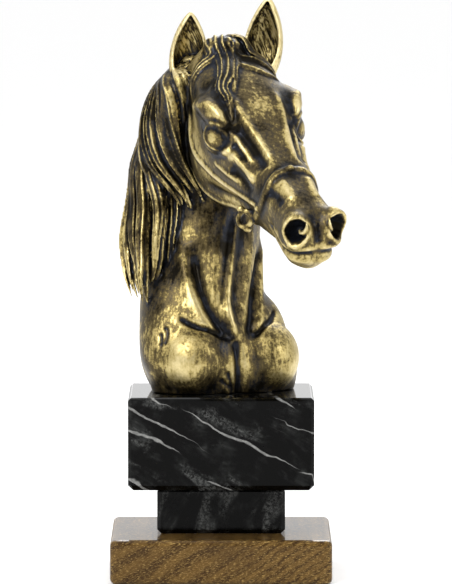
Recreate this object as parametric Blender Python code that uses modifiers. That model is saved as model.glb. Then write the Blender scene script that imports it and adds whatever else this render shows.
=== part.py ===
"""Horse trophy: a cast bust of a haltered horse on two black marble blocks and a walnut base.

Run it with: blender --background --python part.py
Metres, +Z up. The origin is the middle of the wood base's underside, and the front faces -Y.
The horse looks to the front and a little to +X, so its own right side faces -X.
"""
import math

import bmesh
import bpy
import numpy as np
from mathutils import Matrix, Vector
from mathutils.bvhtree import BVHTree

# Driving dimensions of the base, in metres
WOOD_WIDTH = 0.100
WOOD_DEPTH = 0.090
WOOD_HEIGHT = 0.020
WOOD_ROUNDING = 0.0025
LOWER_WIDTH = 0.058
LOWER_DEPTH = 0.042
LOWER_HEIGHT = 0.0206
UPPER_WIDTH = 0.084
UPPER_DEPTH = 0.068
UPPER_HEIGHT = 0.0421
LOWER_CHAMFER = 0.0017
UPPER_CHAMFER = 0.0024
UPPER_EDGE_SHARE = 0.6
SEAT_GAP = 0.0003

# The bust: its height from foot to ear tip, and the turn of the neck and the head in degrees
BUST_HEIGHT = 0.179
HEAD_SHARE = 0.682
HEAD_YAW = 25.6
HEAD_DROP = 34.9
HEAD_ROLL = 6.0

# How finely the bust is fused, and how many triangles it keeps
FUSE_SHARE = 0.0061
DETAIL_SHARE = 0.0048
BUST_TRIANGLES = 7600

# One unit of the bust's own scale is a 179th of its height, so a millimetre at the modelled size
UNIT = BUST_HEIGHT / 179
HEAD_LENGTH = HEAD_SHARE * BUST_HEIGHT
LOWER_BOTTOM = WOOD_HEIGHT + SEAT_GAP
UPPER_BOTTOM = LOWER_BOTTOM + LOWER_HEIGHT + SEAT_GAP
FOOT = UPPER_BOTTOM + UPPER_HEIGHT + SEAT_GAP

# Neck and chest sections in units: height over the foot, centre X and Y, width, depth, turn in degrees
NECK_SECTIONS = (
    (-8, -0.2, 6, 58, 41, 22),
    (0, -0.2, 5.5, 67, 45, 22),
    (6, -0.4, 5, 70, 48, 22),
    (13, -2.1, 5, 73.2, 51, 23),
    (24, -4.9, 6.5, 70.2, 52, 25),
    (32, -7.5, 9, 64.2, 53, 26),
    (39, -9.5, 11.5, 59.3, 53, 27),
    (48, -10, 15, 54.5, 54, 28),
    (57, -9.2, 18, 50.5, 54, 29),
    (68, -8.6, 21, 48, 54, 30),
    (85, -6.5, 24, 46, 54, 30),
    (105, -9, 22.5, 44.5, 51, 28),
    (125, -9, 13, 38, 45, 27),
    (140, -5, 2, 32, 37, 27),
    (152, 0, -8, 25, 27, 26),
    (160, 1, -12, 14, 16, 26),
)

# Head sections in hundredths of the head's length, from behind the poll to the lips: place along the
# head, height of the top line, then half width and height of the edge of the nose, the eye's level,
# the cheek and the jaw, then the height of the underline
HEAD_SECTIONS = (
    (-13, -11, 4, -12, 7, -17, 7, -24, 4, -29, -31),
    (-6, 1, 7, -1, 11, -9, 10, -22, 6, -31, -34),
    (2, 4.0, 9.5, 2.4, 13.5, -5, 12.5, -18, 8.5, -34, -38),
    (10, 5.4, 11, 3.8, 16, -3, 14, -18, 10, -38, -42),
    (19, 6, 11.5, 4.4, 18, -2.5, 15.5, -19, 11.5, -41, -44.5),
    (28, 5.4, 11, 4.2, 18, -3.5, 16, -19, 11.5, -40, -43.5),
    (36, 4.2, 10, 2.8, 16.2, -6, 15.5, -18, 10.5, -37, -41),
    (45, 2.5, 8.8, 1.4, 14.6, -8, 14.5, -17, 9, -32, -36),
    (55, 1.0, 7.6, 0, 11.9, -8, 12.5, -16, 7.5, -28, -32),
    (65, 0.4, 7, -0.5, 10.3, -7, 11, -14, 7, -25.5, -29.5),
    (75, 0.3, 6.6, -0.6, 9.6, -5.5, 9.8, -11.5, 6.8, -22, -25.5),
    (82, 0.2, 6.4, -0.9, 9.2, -5, 10, -11.5, 6.8, -19.5, -23.2),
    (88, -0.3, 6.6, -1.4, 10, -5, 10.2, -12, 6.8, -19.5, -22.8),
    (92.5, -1.6, 6.4, -2.4, 9.6, -6, 9.6, -12.5, 6.4, -19.5, -23.3),
    (96, -4, 5, -4.6, 7.8, -7.5, 8.2, -12.5, 5.6, -18.5, -22),
    (98.6, -7.5, 2.6, -8, 4, -9.5, 4, -12.5, 2.6, -15.5, -17.5),
)

# Carved lines on both sides of the head: half width and height in units (a groove is negative), how
# flat the band's top is (2 is a round ridge), and points along, across and up in head lengths
HEAD_LINES = (
    (1.9, 1.4, 2, ((0.26, 0.085, 0.05), (0.377, 0.078, 0.04), (0.49, 0.06, 0.02), (0.62, 0.045, 0.003))),
    (3.0, -2.8, 2, ((0.38, 0.115, 0.01), (0.50, 0.09, -0.005), (0.62, 0.07, -0.02))),
    (1.0, 0.8, 2, ((0.38, 0.13, -0.01), (0.46, 0.112, -0.025), (0.55, 0.10, -0.045))),
    (2.0, -1.2, 2, ((0.43, 0.14, -0.035), (0.50, 0.12, -0.04), (0.58, 0.102, -0.05))),
    (2.2, 1.8, 2, ((0.40, 0.155, -0.09), (0.46, 0.135, -0.068), (0.53, 0.115, -0.068), (0.62, 0.10, -0.08))),
    (1.3, 0.9, 2, ((0.36, 0.155, -0.17), (0.45, 0.15, -0.15), (0.54, 0.13, -0.135))),
    (4.0, -1.6, 2, ((0.47, 0.15, -0.11), (0.56, 0.125, -0.11), (0.63, 0.11, -0.12))),
    (5.0, -1.2, 2, ((0.11, 0.15, -0.05), (0.165, 0.155, -0.005), (0.20, 0.14, 0.03))),
    (1.1, 1.0, 2, ((0.08, 0.11, -0.36), (0.26, 0.12, -0.38), (0.38, 0.10, -0.35), (0.52, 0.085, -0.29),
                   (0.66, 0.07, -0.26))),
    (2.4, -1.3, 2, ((0.30, 0.13, -0.33), (0.42, 0.12, -0.28), (0.54, 0.11, -0.23), (0.62, 0.10, -0.20))),
    (1.1, -1.7, 2, ((0.755, 0.10, -0.161), (0.85, 0.10, -0.150), (0.93, 0.08, -0.138), (0.97, 0.04, -0.12),
                    (0.985, 0, -0.115))),
    (1.5, 0.9, 2, ((0.79, 0.10, -0.13), (0.87, 0.10, -0.122), (0.94, 0.075, -0.11), (0.98, 0, -0.095))),
    (1.8, 0.9, 2, ((0.79, 0.095, -0.185), (0.88, 0.095, -0.178), (0.95, 0.06, -0.165), (0.97, 0, -0.155))),
    (2.0, 1.0, 2, ((0.70, 0.05, 0.0), (0.76, 0.045, 0.0), (0.82, 0.045, 0.0))),
    (2.2, -1.5, 2, ((0.70, 0.09, -0.05), (0.76, 0.08, -0.035), (0.81, 0.07, -0.035))),
    (1.8, -0.9, 2, ((0.88, 0.005, 0.0), (0.93, 0.005, -0.02), (0.97, 0.005, -0.05), (0.985, 0.005, -0.09))),
)
STRAP_LINES = (
    (1.8, 1.2, 5, ((0.62, 0.08, -0.26), (0.69, 0.105, -0.13), (0.69, 0.09, -0.05), (0.67, 0.05, 0.0),
                   (0.66, 0, 0.005))),
    (1.3, 1.1, 5, ((0.68, 0.105, -0.14), (0.52, 0.12, -0.19), (0.34, 0.14, -0.24), (0.20, 0.155, -0.25),
                   (0.10, 0.145, -0.18), (0.03, 0.13, -0.10))),
)

# Carved lines on the neck, in units and in degrees round the neck (0 is the throat): pairs, which are
# mirrored about a middle turned by a few degrees, and single ones
NECK_SHIFT = 5
NECK_LINES = (
    (2.8, -3.0, 2, ((64, 44), (47, 28), (33, 15), (23, 5))),
    (3.3, 2.0, 2, ((68, 66), (50, 47), (35, 31), (26, 18))),
    (1.2, -2.0, 2, ((35, 46), (31.5, 34), (28.5, 21), (25, 9))),
    (3.6, 1.2, 2, ((86, 14), (64, 18), (44, 13), (30, 5))),
)
MIDDLE_LINES = (
    (2.2, 2.4, 2, ((82, 0), (60, 0), (38, 0), (22, 2))),
    (2.0, -2.6, 2, ((25, 1), (10, 0), (-6, 0))),
    (1.0, -1.6, 2, ((18, -7), (8, -9), (-4, -5))),
    (0.8, -0.9, 2, ((31, -52), (27, -50), (22, -52))),
    (0.8, -0.9, 2, ((28, -57), (25, -55), (21, -56))),
)

# Locks of hair. Mane guides run from root to tip: height over the foot, degrees round the neck and
# distance out from it, in units. A forelock lock has a thickness and a lift off the skin in units, and
# points in head lengths
MANE_BACK = (
    ((151, 176, 1), (136, 192, 2), (112, 206, 3), (86, 216, 5), (62, 222, 6), (44, 226, 2)),
    ((152, 196, 2), (136, 222, 3), (112, 234, 5), (86, 243, 13), (62, 248, 13), (43, 258, 5)),
    ((152, 214, 3), (137, 246, 5), (114, 258, 6), (88, 266, 13), (62, 270, 12), (43, 274, 5)),
    ((151, 232, 4), (134, 266, 6), (112, 281, 6), (86, 291, 9), (62, 294, 7), (47, 293, 3)),
)
MANE_FRONT = (
    ((149, 206, 4), (137, 244, 7), (121, 262, 9), (104, 276, 11), (87, 292, 7)),
    ((149, 222, 5), (136, 266, 8), (121, 286, 9), (104, 300, 9), (86, 310, 4)),
    ((148, 250, 5), (137, 294, 9), (120, 314, 9), (103, 324, 6), (86, 327, 1)),
)
MANE_SIDE = (
    ((147, 256, 4), (142, 284, 6), (135, 302, 6), (123, 317, 6), (107, 326, 3)),
    ((146, 276, 3), (142, 300, 3), (135, 313, 3), (125, 323, 3), (110, 331, 1)),
)
FORELOCKS = (
    (3.2, 0.9, ((-0.14, -0.03, -0.02), (-0.06, -0.04, 0.03), (0.015, -0.066, 0.05), (0.045, -0.110, 0.02),
                (0.07, -0.150, -0.035), (0.10, -0.178, -0.08))),
    (2.2, 0.9, ((-0.13, -0.03, -0.02), (-0.05, -0.045, 0.03), (0.03, -0.075, 0.04), (0.07, -0.12, 0.0),
                (0.09, -0.15, -0.04))),
    (4.6, 0.9, ((-0.14, 0.0, -0.02), (-0.09, -0.005, 0.03), (-0.03, -0.018, 0.055), (0.08, -0.036, 0.06),
                (0.157, -0.066, 0.055), (0.221, -0.106, 0.05), (0.288, -0.105, 0.045), (0.37, -0.117, 0.02))),
    (2.8, 1.0, ((-0.13, 0.02, -0.02), (-0.05, 0.01, 0.05), (0.05, -0.005, 0.06), (0.12, -0.025, 0.06),
                (0.19, -0.045, 0.055), (0.25, -0.07, 0.05))),
    (3.0, 2.6, ((-0.10, 0.02, 0.0), (-0.055, 0.046, 0.045), (0.0, 0.090, 0.05), (0.065, 0.134, 0.035),
                (0.132, 0.172, 0.01))),
    (2.4, 1.0, ((-0.05, 0.015, 0.05), (0.037, 0.026, 0.06), (0.066, 0.083, 0.05), (0.111, 0.126, 0.045),
                (0.152, 0.159, 0.02))),
    (2.2, 0.8, ((0.0, -0.01, 0.055), (0.085, 0.003, 0.06), (0.133, 0.057, 0.055), (0.172, 0.101, 0.05),
            (0.183, 0.146, 0.03))),
)

# The mane's tiers: guides, number of clumps, swing of a clump's wave in degrees, and the clump's layers.
# A layer has a number of strands, their thickness and depth under the guides in units, and how far they
# close up at the tip. The deep layer is the solid mass under the strands
MANE_TIERS = (
    (MANE_BACK, 7, 4.0, ((3, 3.4, 2.3, 0.75), (2, 6.0, 7.0, 0.25))),
    (MANE_FRONT, 5, 3.0, ((3, 3.0, 2.2, 0.75), (2, 4.6, 5.5, 0.4))),
    (MANE_SIDE, 2, 2.0, ((3, 2.6, 1.5, 0.75),)),
)

# Share of its own radius by which a forelock lock is sunk
LOCK_SINK = 0.35

# Ears: root and tip in units from the middle of the marble's top, and which way the cup opens
EARS = (
    ((-14.5, -9, 137), (-13.8, -7, 172.5), (0.15, -1.0, 0.1)),
    ((16.5, -3, 142), (21.6, -2, 179), (-0.25, -1.0, 0.1)),
)
EAR_WIDTH = 17.4
EAR_WALL = 1.5

# Nostrils and eyes on the horse's left: place in head lengths, the way that they face along, across and
# up the head, and their sizes in units
NOSTRIL = (0.935, 0.073, -0.045)
NOSTRIL_FACES = (0.70, 0.60, 0.30)
NOSTRIL_HALF = (4.6, 5.8)
NOSTRIL_DEPTH = 7.5
NOSTRIL_RIM = 1.6
EYE = (0.348, 0.165, -0.052)
EYE_FACES = (0.55, 0.74, 0.40)
EYE_RADIUS = 7.2
LID_RADIUS = 1.0

# The halter's ring on the horse's left: place in head lengths, the way that it faces, half its height
# and width and its tube in units, and the knots on it, in units out, along and up
RING = (0.613, 0.116, -0.247)
RING_FACES = (0.55, 0.70, 0.46)
RING_HALF = (3.1, 3.7)
RING_TUBE = 1.2
RING_KNOTS = ((0.0, -3.6, 3.2), (0.0, 3.4, 3.4), (-0.4, 2.6, -3.6))
KNOT_HALF = (1.8, 2.0, 1.7)

# Balls that swell the chest, in units ahead, to the side and up, and the head, in head lengths: centre
# and half lengths
CHEST_TURN = 23
CHEST_MIDDLE = (-1, 5, 0)
CHEST_BALLS = (
    ((10, 18, 15), (18, 16, 17)),
    ((-6, 17, 19), (25, 17, 26)),
)
HEAD_BALLS = (
    ((0.20, 0.09, -0.22), (0.185, 0.07, 0.19)),
    ((0.256, 0.147, -0.008), (0.105, 0.053, 0.048)),
    ((0.91, 0.072, -0.045), (0.05, 0.05, 0.062)),
    ((0.90, 0.05, -0.105), (0.08, 0.06, 0.04)),
)
CHIN_BALL = ((0.905, 0, -0.19), (0.06, 0.08, 0.04))


def clear_scene():
    """Remove what the scene holds, so that only this model is left."""
    for item in list(bpy.data.objects):
        bpy.data.objects.remove(item)


def through(knots, values, where):
    """Rows of values read at the places where, on a smooth curve through the rows at the knots."""
    knots = np.asarray(knots, float)
    values = np.asarray(values, float).reshape(len(knots), -1)
    span = np.diff(knots)[:, None]
    slope = np.diff(values, axis=0) / span
    tangent = np.vstack([slope[:1], (slope[:-1] * span[1:] + slope[1:] * span[:-1]) / (span[:-1] + span[1:]),
                         slope[-1:]])
    where = np.atleast_1d(np.asarray(where, float))
    i = np.clip(np.searchsorted(knots, where, side="right") - 1, 0, len(span) - 1)
    t = ((where - knots[i]) / span[i, 0])[:, None]
    return ((2 * t**3 - 3 * t**2 + 1) * values[i] + (t**3 - 2 * t**2 + t) * span[i] * tangent[i]
            + (3 * t**2 - 2 * t**3) * values[i + 1] + (t**3 - t**2) * span[i] * tangent[i + 1])


def smooth_line(points, count=24):
    """The points of a smooth line through a few points, spaced evenly between them."""
    return through(np.linspace(0, 1, len(points)), points, np.linspace(0, 1, count))


def head_axes():
    """Unit vectors towards the muzzle, towards the horse's left and up out of the forehead, as rows."""
    yaw, drop, roll = (math.radians(v) for v in (HEAD_YAW, HEAD_DROP, HEAD_ROLL))
    along = np.array([math.sin(yaw) * math.cos(drop), -math.cos(yaw) * math.cos(drop), -math.sin(drop)])
    level = np.array([math.cos(yaw), math.sin(yaw), 0.0])
    upright = np.cross(level, along)
    if upright[2] < 0:
        upright = -upright
    left = math.cos(roll) * level + math.sin(roll) * upright
    up = math.cos(roll) * upright - math.sin(roll) * level
    return np.stack([along, left, up])


POLL = np.array([1.8, -14, 150.9]) * UNIT + np.array([0, 0, FOOT])
HEAD_AXES = head_axes()


def head_point(share):
    """World place of a point given along, across and up the head in head lengths."""
    return POLL + HEAD_LENGTH * (np.asarray(share, float) @ HEAD_AXES)


def neck_point(height, degrees, out=0.0):
    """World place on the neck at a height over the foot, an angle round it and a distance out."""
    height, degrees, out = np.broadcast_arrays(*(np.asarray(v, float) for v in (height, degrees, out)))
    table = np.asarray(NECK_SECTIONS, float)
    row = through(table[:, 0], table[:, 1:], height.ravel()).reshape(height.shape + (5,))
    angle = np.radians(degrees)
    turn = np.radians(row[..., 4])
    forward = np.stack([np.sin(turn), -np.cos(turn)], -1)
    sideways = np.stack([np.cos(turn), np.sin(turn)], -1)
    across = (row[..., 2] / 2 + out) * np.sin(angle) * (1 + 0.15 * np.cos(angle))
    ahead = (row[..., 3] / 2 + out) * np.cos(angle)
    flat = row[..., :2] + across[..., None] * sideways + ahead[..., None] * forward
    return np.concatenate([flat, height[..., None]], -1) * UNIT + np.array([0, 0, FOOT])


def unit_rows(vectors):
    """The vectors at length one."""
    return vectors / np.linalg.norm(vectors, axis=-1, keepdims=True)


def new_object(name, mesh, collection):
    """An object with this mesh in this collection."""
    item = bpy.data.objects.new(name, mesh)
    collection.objects.link(item)
    return item


def loft(name, rings, collection):
    """A closed skin over rings of points, each end closed by a fan to the ring's middle."""
    count, around, _ = rings.shape
    i, j = np.meshgrid(np.arange(count - 1), np.arange(around), indexing="ij")
    k = (j + 1) % around
    quads = np.stack([i * around + j, i * around + k, (i + 1) * around + k, (i + 1) * around + j], -1)
    first, last = count * around, count * around + 1
    j = np.arange(around)
    k = (j + 1) % around
    start = np.stack([np.full(around, first), k, j], -1)
    end = np.stack([np.full(around, last), (count - 1) * around + j, (count - 1) * around + k], -1)
    points = np.vstack([rings.reshape(-1, 3), rings[0].mean(0), rings[-1].mean(0)])
    mesh = bpy.data.meshes.new(name)
    mesh.from_pydata(points.tolist(), [], quads.reshape(-1, 4).tolist() + start.tolist() + end.tolist())
    work = bmesh.new()
    work.from_mesh(mesh)
    bmesh.ops.recalc_face_normals(work, faces=work.faces)
    work.to_mesh(mesh)
    work.free()
    return new_object(name, mesh, collection)


def head_rings(count=110, around=72):
    """Rings of the head: smooth closed curves through each section's ten points."""
    table = np.asarray(HEAD_SECTIONS, float) / 100
    along = np.linspace(table[0, 0], table[-1, 0], count)
    row = through(table[:, 0], table[:, 1:], along)
    zero = np.zeros(count)
    side = [(row[:, k], row[:, k + 1]) for k in (1, 3, 5, 7)]
    section = [(zero, row[:, 0]), *side, (zero, row[:, 9]), *[(-across, up) for across, up in side[::-1]]]
    corners = np.stack([np.stack([along, across, up], -1) for across, up in section])
    corners = np.concatenate([corners[-3:], corners, corners[:3]])
    knots = np.arange(-3, len(section) + 3)
    where = np.arange(around) * len(section) / around
    curve = through(knots, corners.reshape(len(knots), -1), where).reshape(around, count, 3)
    return head_point(curve.transpose(1, 0, 2))


def neck_rings(count=80, around=72):
    """Rings of the neck and chest from under the foot to inside the head."""
    heights = np.linspace(NECK_SECTIONS[0][0], NECK_SECTIONS[-1][0], count)
    return neck_point(heights[:, None], np.linspace(0, 360, around, endpoint=False)[None, :])


def ball(name, centre, radii, axes, collection):
    """A stretched ball: its centre in the world, and its half lengths along three axes."""
    place = Matrix.Identity(4)
    for column in range(3):
        for row in range(3):
            place[row][column] = axes[column][row] * radii[column]
        place[column][3] = centre[column]
    mesh = bpy.data.meshes.new(name)
    work = bmesh.new()
    bmesh.ops.create_uvsphere(work, u_segments=28, v_segments=18, radius=1.0, matrix=place)
    work.to_mesh(mesh)
    work.free()
    return new_object(name, mesh, collection)


def chest_axes(degrees):
    """Unit vectors forward, sideways and up for a chest turned by an angle, as rows."""
    turn = math.radians(degrees)
    return np.array([[math.sin(turn), -math.cos(turn), 0], [math.cos(turn), math.sin(turn), 0], [0, 0, 1]])


def muscles(collection):
    """Balls that swell the chest, the cheeks, the brows, the nostrils, the lips and the chin."""
    axes = chest_axes(CHEST_TURN)
    middle = np.array(CHEST_MIDDLE) * UNIT + np.array([0, 0, FOOT])
    for side in (-1, 1):
        for place, size in CHEST_BALLS:
            centre = middle + np.array(place) * (1, side, 1) * UNIT @ axes
            ball("chest", centre, np.array(size) * UNIT, axes, collection)
        for place, size in HEAD_BALLS:
            centre = head_point(np.array(place) * (1, side, 1))
            ball("face", centre, np.array(size) * HEAD_LENGTH, HEAD_AXES, collection)
    ball("chin", head_point(CHIN_BALL[0]), np.array(CHIN_BALL[1]) * HEAD_LENGTH, HEAD_AXES, collection)


def evaluated_mesh(item):
    """A mesh of the object with its modifiers applied."""
    return bpy.data.meshes.new_from_object(item.evaluated_get(bpy.context.evaluated_depsgraph_get()))


def merged(name, items, collection):
    """One object that holds the shapes of several, which are removed."""
    work = bmesh.new()
    for item in items:
        mesh = evaluated_mesh(item)
        work.from_mesh(mesh)
        bpy.data.meshes.remove(mesh)
        bpy.data.objects.remove(item)
    mesh = bpy.data.meshes.new(name)
    work.to_mesh(mesh)
    work.free()
    return new_object(name, mesh, collection)


def fuse(item, voxel):
    """Melt overlapping shapes into one skin made of small squares."""
    modifier = item.modifiers.new("fuse", "REMESH")
    modifier.mode = "VOXEL"
    modifier.voxel_size = voxel
    mesh = evaluated_mesh(item)
    item.modifiers.clear()
    item.data = mesh


def read_points(mesh, source="vertices"):
    """The mesh's points, or its normals, as rows."""
    rows = np.empty(len(mesh.vertices) * 3, np.float32)
    if source == "vertices":
        mesh.vertices.foreach_get("co", rows)
    else:
        mesh.vertex_normals.foreach_get("vector", rows)
    return rows.reshape(-1, 3).astype(float)


def write_points(mesh, points):
    """Put the points back into the mesh."""
    mesh.vertices.foreach_set("co", points.astype(np.float32).ravel())
    mesh.update()


def relax(mesh, rounds, pull=0.5):
    """Move each point part of the way to the middle of its neighbours, several times."""
    ends = np.empty(len(mesh.edges) * 2, np.int32)
    mesh.edges.foreach_get("vertices", ends)
    ends = ends.reshape(-1, 2)
    points = read_points(mesh)
    number = np.bincount(ends.ravel(), minlength=len(points))[:, None]
    for _ in range(rounds):
        total = np.stack([np.bincount(ends[:, 0], points[ends[:, 1], axis], len(points))
                          + np.bincount(ends[:, 1], points[ends[:, 0], axis], len(points))
                          for axis in range(3)], -1)
        points = points + pull * (total / number - points)
    write_points(mesh, points)


def distance_to(points, line):
    """Distance of each point to a line of points, and how far along the line its nearest place is."""
    steps = np.diff(line, axis=0)
    lengths = np.linalg.norm(steps, axis=1)
    starts = np.concatenate([[0], np.cumsum(lengths)])
    nearest = np.full(len(points), np.inf)
    share = np.zeros(len(points))
    for first, step, length, start in zip(line[:-1], steps, lengths, starts):
        t = np.clip((points - first) @ step / length**2, 0, 1)
        gap = np.linalg.norm(points - first - t[:, None] * step, axis=1)
        closer = gap < nearest
        nearest[closer] = gap[closer]
        share[closer] = (start + t[closer] * length) / starts[-1]
    return nearest, share


def search_tree(mesh):
    """A tree that finds the nearest place on the mesh."""
    faces = [tuple(face.vertices) for face in mesh.polygons]
    return BVHTree.FromPolygons([Vector(point) for point in read_points(mesh)], faces)


def carve(mesh, lines):
    """Raise ridges and cut grooves along lines laid on the skin; each fades out at its ends."""
    points = read_points(mesh)
    normals = read_points(mesh, "normals")
    tree = search_tree(mesh)
    move = np.zeros(len(points))
    for half_width, height, flatness, line in lines:
        laid = np.array([tree.find_nearest(Vector(p))[0] for p in smooth_line(line)])
        low = laid.min(0) - 3 * half_width * UNIT
        high = laid.max(0) + 3 * half_width * UNIT
        near = np.flatnonzero(np.all((points > low) & (points < high), axis=1))
        gap, share = distance_to(points[near], laid)
        fade = np.clip(np.sin(np.pi * np.clip(share, 0.02, 0.98)) * 2.5, 0, 1) if flatness == 2 else 1.0
        move[near] += height * UNIT * fade * np.exp(-(gap / (half_width * UNIT)) ** flatness)
    write_points(mesh, points + move[:, None] * normals)


def both_sides(lines):
    """Head lines in world places, for the right and the left side."""
    return [(width, height, flatness, head_point(np.array(line) * (1, side, 1)))
            for width, height, flatness, line in lines for side in (-1, 1)]


def neck_lines():
    """Neck lines in world places: those of both sides, and those of the middle."""
    shift = np.array([0, NECK_SHIFT])
    rows = [(*line[:3], np.array(line[3]) * (1, side) + shift) for line in NECK_LINES for side in (-1, 1)]
    rows += [(*line[:3], np.array(line[3])) for line in MIDDLE_LINES]
    return [(width, height, flatness, neck_point(places[:, 0], places[:, 1]))
            for width, height, flatness, places in rows]


def facing_axes(towards, side):
    """Unit vectors out of a face of the head, along it and up it, as rows, for one side."""
    out = unit_rows(np.array(towards) * (1, side, 1) @ HEAD_AXES)
    along = unit_rows(np.cross(out, HEAD_AXES[2])) * side
    return np.stack([out, along, unit_rows(np.cross(along, out)) * side])


def sunk_oval(points, axes, centre, half_lengths, floor, rim, reach):
    """The points, moved down by the floor inside an oval and up by the rim around it, within reach."""
    offset = (points - centre) @ axes.T
    q = np.hypot(offset[:, 1] / half_lengths[0], offset[:, 2] / half_lengths[1]) / UNIT
    move = floor * np.clip(1 - q**2, 0, 1) ** 0.8 + rim * np.exp(-((q - 1.25) / 0.22) ** 2)
    return points + np.where(np.abs(offset[:, 0]) < reach * UNIT, move, 0)[:, None] * UNIT * axes[0]


def sockets(mesh):
    """Sink the nostrils inside their rims, and a shallow socket round each eye."""
    points = read_points(mesh)
    for side in (-1, 1):
        nostril = head_point(np.array(NOSTRIL) * (1, side, 1))
        points = sunk_oval(points, facing_axes(NOSTRIL_FACES, side), nostril, NOSTRIL_HALF,
                           -NOSTRIL_DEPTH, NOSTRIL_RIM, 1.3 * NOSTRIL_DEPTH)
        eye = head_point(np.array(EYE) * (1, side, 1))
        points = sunk_oval(points, facing_axes(EYE_FACES, side), eye, (0.97 * EYE_RADIUS, 0.78 * EYE_RADIUS),
                           -1.5, -1.0, EYE_RADIUS)
    write_points(mesh, points)


def eyes(collection):
    """Eyeballs, each with a lid that follows an oval round it and a fold above, on spheres round it."""
    turn = np.linspace(0, 2 * math.pi, 28, endpoint=False)
    upper = np.linspace(0.12, math.pi - 0.12, 16)
    for side in (-1, 1):
        axes = facing_axes(EYE_FACES, side)
        centre = head_point(np.array(EYE) * (1, side, 1)) - 0.83 * EYE_RADIUS * UNIT * axes[0]
        ball("eyeball", centre, np.full(3, EYE_RADIUS * UNIT), axes, collection)
        slant = 0.12 * np.cos(turn)
        oval = np.stack([np.ones(len(turn)), 1.15 * np.cos(turn), 0.70 * np.sin(turn) - slant], -1)
        lid = centre + EYE_RADIUS * UNIT * unit_rows(oval) @ axes
        tube("lid", [(lid, np.full(len(turn), LID_RADIUS))], collection, closed=True)
        rise = 0.15 + np.sin(upper) - 0.1 * np.cos(upper)
        arc = np.stack([np.ones(len(upper)), 1.5 * np.cos(upper), rise], -1)
        fold = centre + 1.17 * EYE_RADIUS * UNIT * unit_rows(arc) @ axes
        tube("fold", [(fold, LID_RADIUS * np.sin(upper) ** 0.5)], collection)


def tube(name, runs, collection, profile=None, closed=False):
    """A curve with a round or ridged section. Each run is its points and its radius there in units."""
    curve = bpy.data.curves.new(name, "CURVE")
    curve.dimensions = "3D"
    curve.use_fill_caps = True
    curve.twist_mode = "Z_UP"
    if profile is None:
        curve.bevel_depth = UNIT
        curve.bevel_resolution = 2
    else:
        curve.bevel_mode = "OBJECT"
        curve.bevel_object = profile
    for points, radii in runs:
        spline = curve.splines.new("POLY")
        spline.points.add(len(points) - 1)
        spline.points.foreach_set("co", np.hstack([points, np.ones((len(points), 1))]).ravel())
        spline.points.foreach_set("radius", np.asarray(radii, float))
        spline.use_cyclic_u = closed
    return new_object(name, curve, collection)


def lock_profile(collection):
    """The section of a lock of hair: a flattened round with sharp strand ridges, one unit in radius."""
    turn = np.linspace(0, 2 * math.pi, 40, endpoint=False)
    ridge = 0.76 + 0.4 * (1 - np.abs(np.sin(2.5 * turn))) ** 1.3
    curve = bpy.data.curves.new("lock_profile", "CURVE")
    curve.dimensions = "2D"
    spline = curve.splines.new("POLY")
    spline.points.add(len(turn) - 1)
    flat = np.stack([ridge * np.cos(turn), ridge * np.sin(turn), 0 * turn, 1 / UNIT + 0 * turn], -1) * UNIT
    spline.points.foreach_set("co", flat.ravel())
    spline.use_cyclic_u = True
    return new_object("lock_profile", curve, collection)


def lock_radius(share, thickness):
    """Radius along a lock: it swells from its root and runs out to a thin tip."""
    return thickness * (0.55 + 0.45 * np.clip(share / 0.2, 0, 1)) * (1.02 - share**2.5) ** 0.7


def laid_on(tree, points, lift):
    """The points moved to the nearest place on the skin and lifted off it."""
    hits = [tree.find_nearest(Vector(p)) for p in points]
    return np.array([hit[0] for hit in hits]) + lift[:, None] * UNIT * np.array([hit[1] for hit in hits])


def mane_runs(draw, share):
    """Strands of the mane: a clump's strands share one wave and close up towards the tip."""
    runs = []
    for guides, clumps, swing, layers in MANE_TIERS:
        table = np.asarray(guides, float).reshape(len(guides), -1)
        for clump in range(clumps):
            wave = 2 * math.pi * (draw.uniform(1.0, 1.6) * share + draw.uniform(0, 1))
            wave = draw.uniform(0.7, 1) * swing * np.sin(wave) * (1 - 0.4 * share)
            reach = draw.uniform(-4, 4) * share
            for strands, thickness, depth, close in layers:
                for place in (np.arange(strands) + 0.5) / strands:
                    pair = through(np.linspace(0, 1, len(guides)), table,
                                   [(clump + place) / clumps, (clump + 0.5) / clumps])
                    own, middle = (smooth_line(row.reshape(-1, 3), len(share)) for row in pair)
                    path = own + (close * share**1.6)[:, None] * (middle - own)
                    out = path[:, 2] - depth - 1.5 * share**3
                    points = neck_point(path[:, 0] + reach, path[:, 1] + wave, out)
                    runs.append((points, lock_radius(share, thickness)))
    return runs


def forelock_runs(body, share):
    """Locks laid on the forehead; each is sunk at the crown and by a share of its own radius."""
    tree = search_tree(body)
    runs = []
    for thickness, lift, guide in FORELOCKS:
        radii = lock_radius(share, thickness)
        rise = lift * np.minimum(1.2 - share, 4 * share) - 1.6 * (1 - share) ** 4 - LOCK_SINK * radii
        runs.append((laid_on(tree, head_point(smooth_line(guide, len(share))), rise), radii))
    return runs


def hair(body, collection):
    """The mane and the forelock, as tapered locks with strand ridges laid along guides."""
    share = np.linspace(0, 1, 26)
    runs = mane_runs(np.random.default_rng(7), share) + forelock_runs(body, share)
    profile = lock_profile(collection)
    locks = tube("locks", runs, collection, profile)
    mesh = evaluated_mesh(locks)
    bpy.data.objects.remove(locks)
    bpy.data.objects.remove(profile)
    return new_object("locks", mesh, collection)


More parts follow.
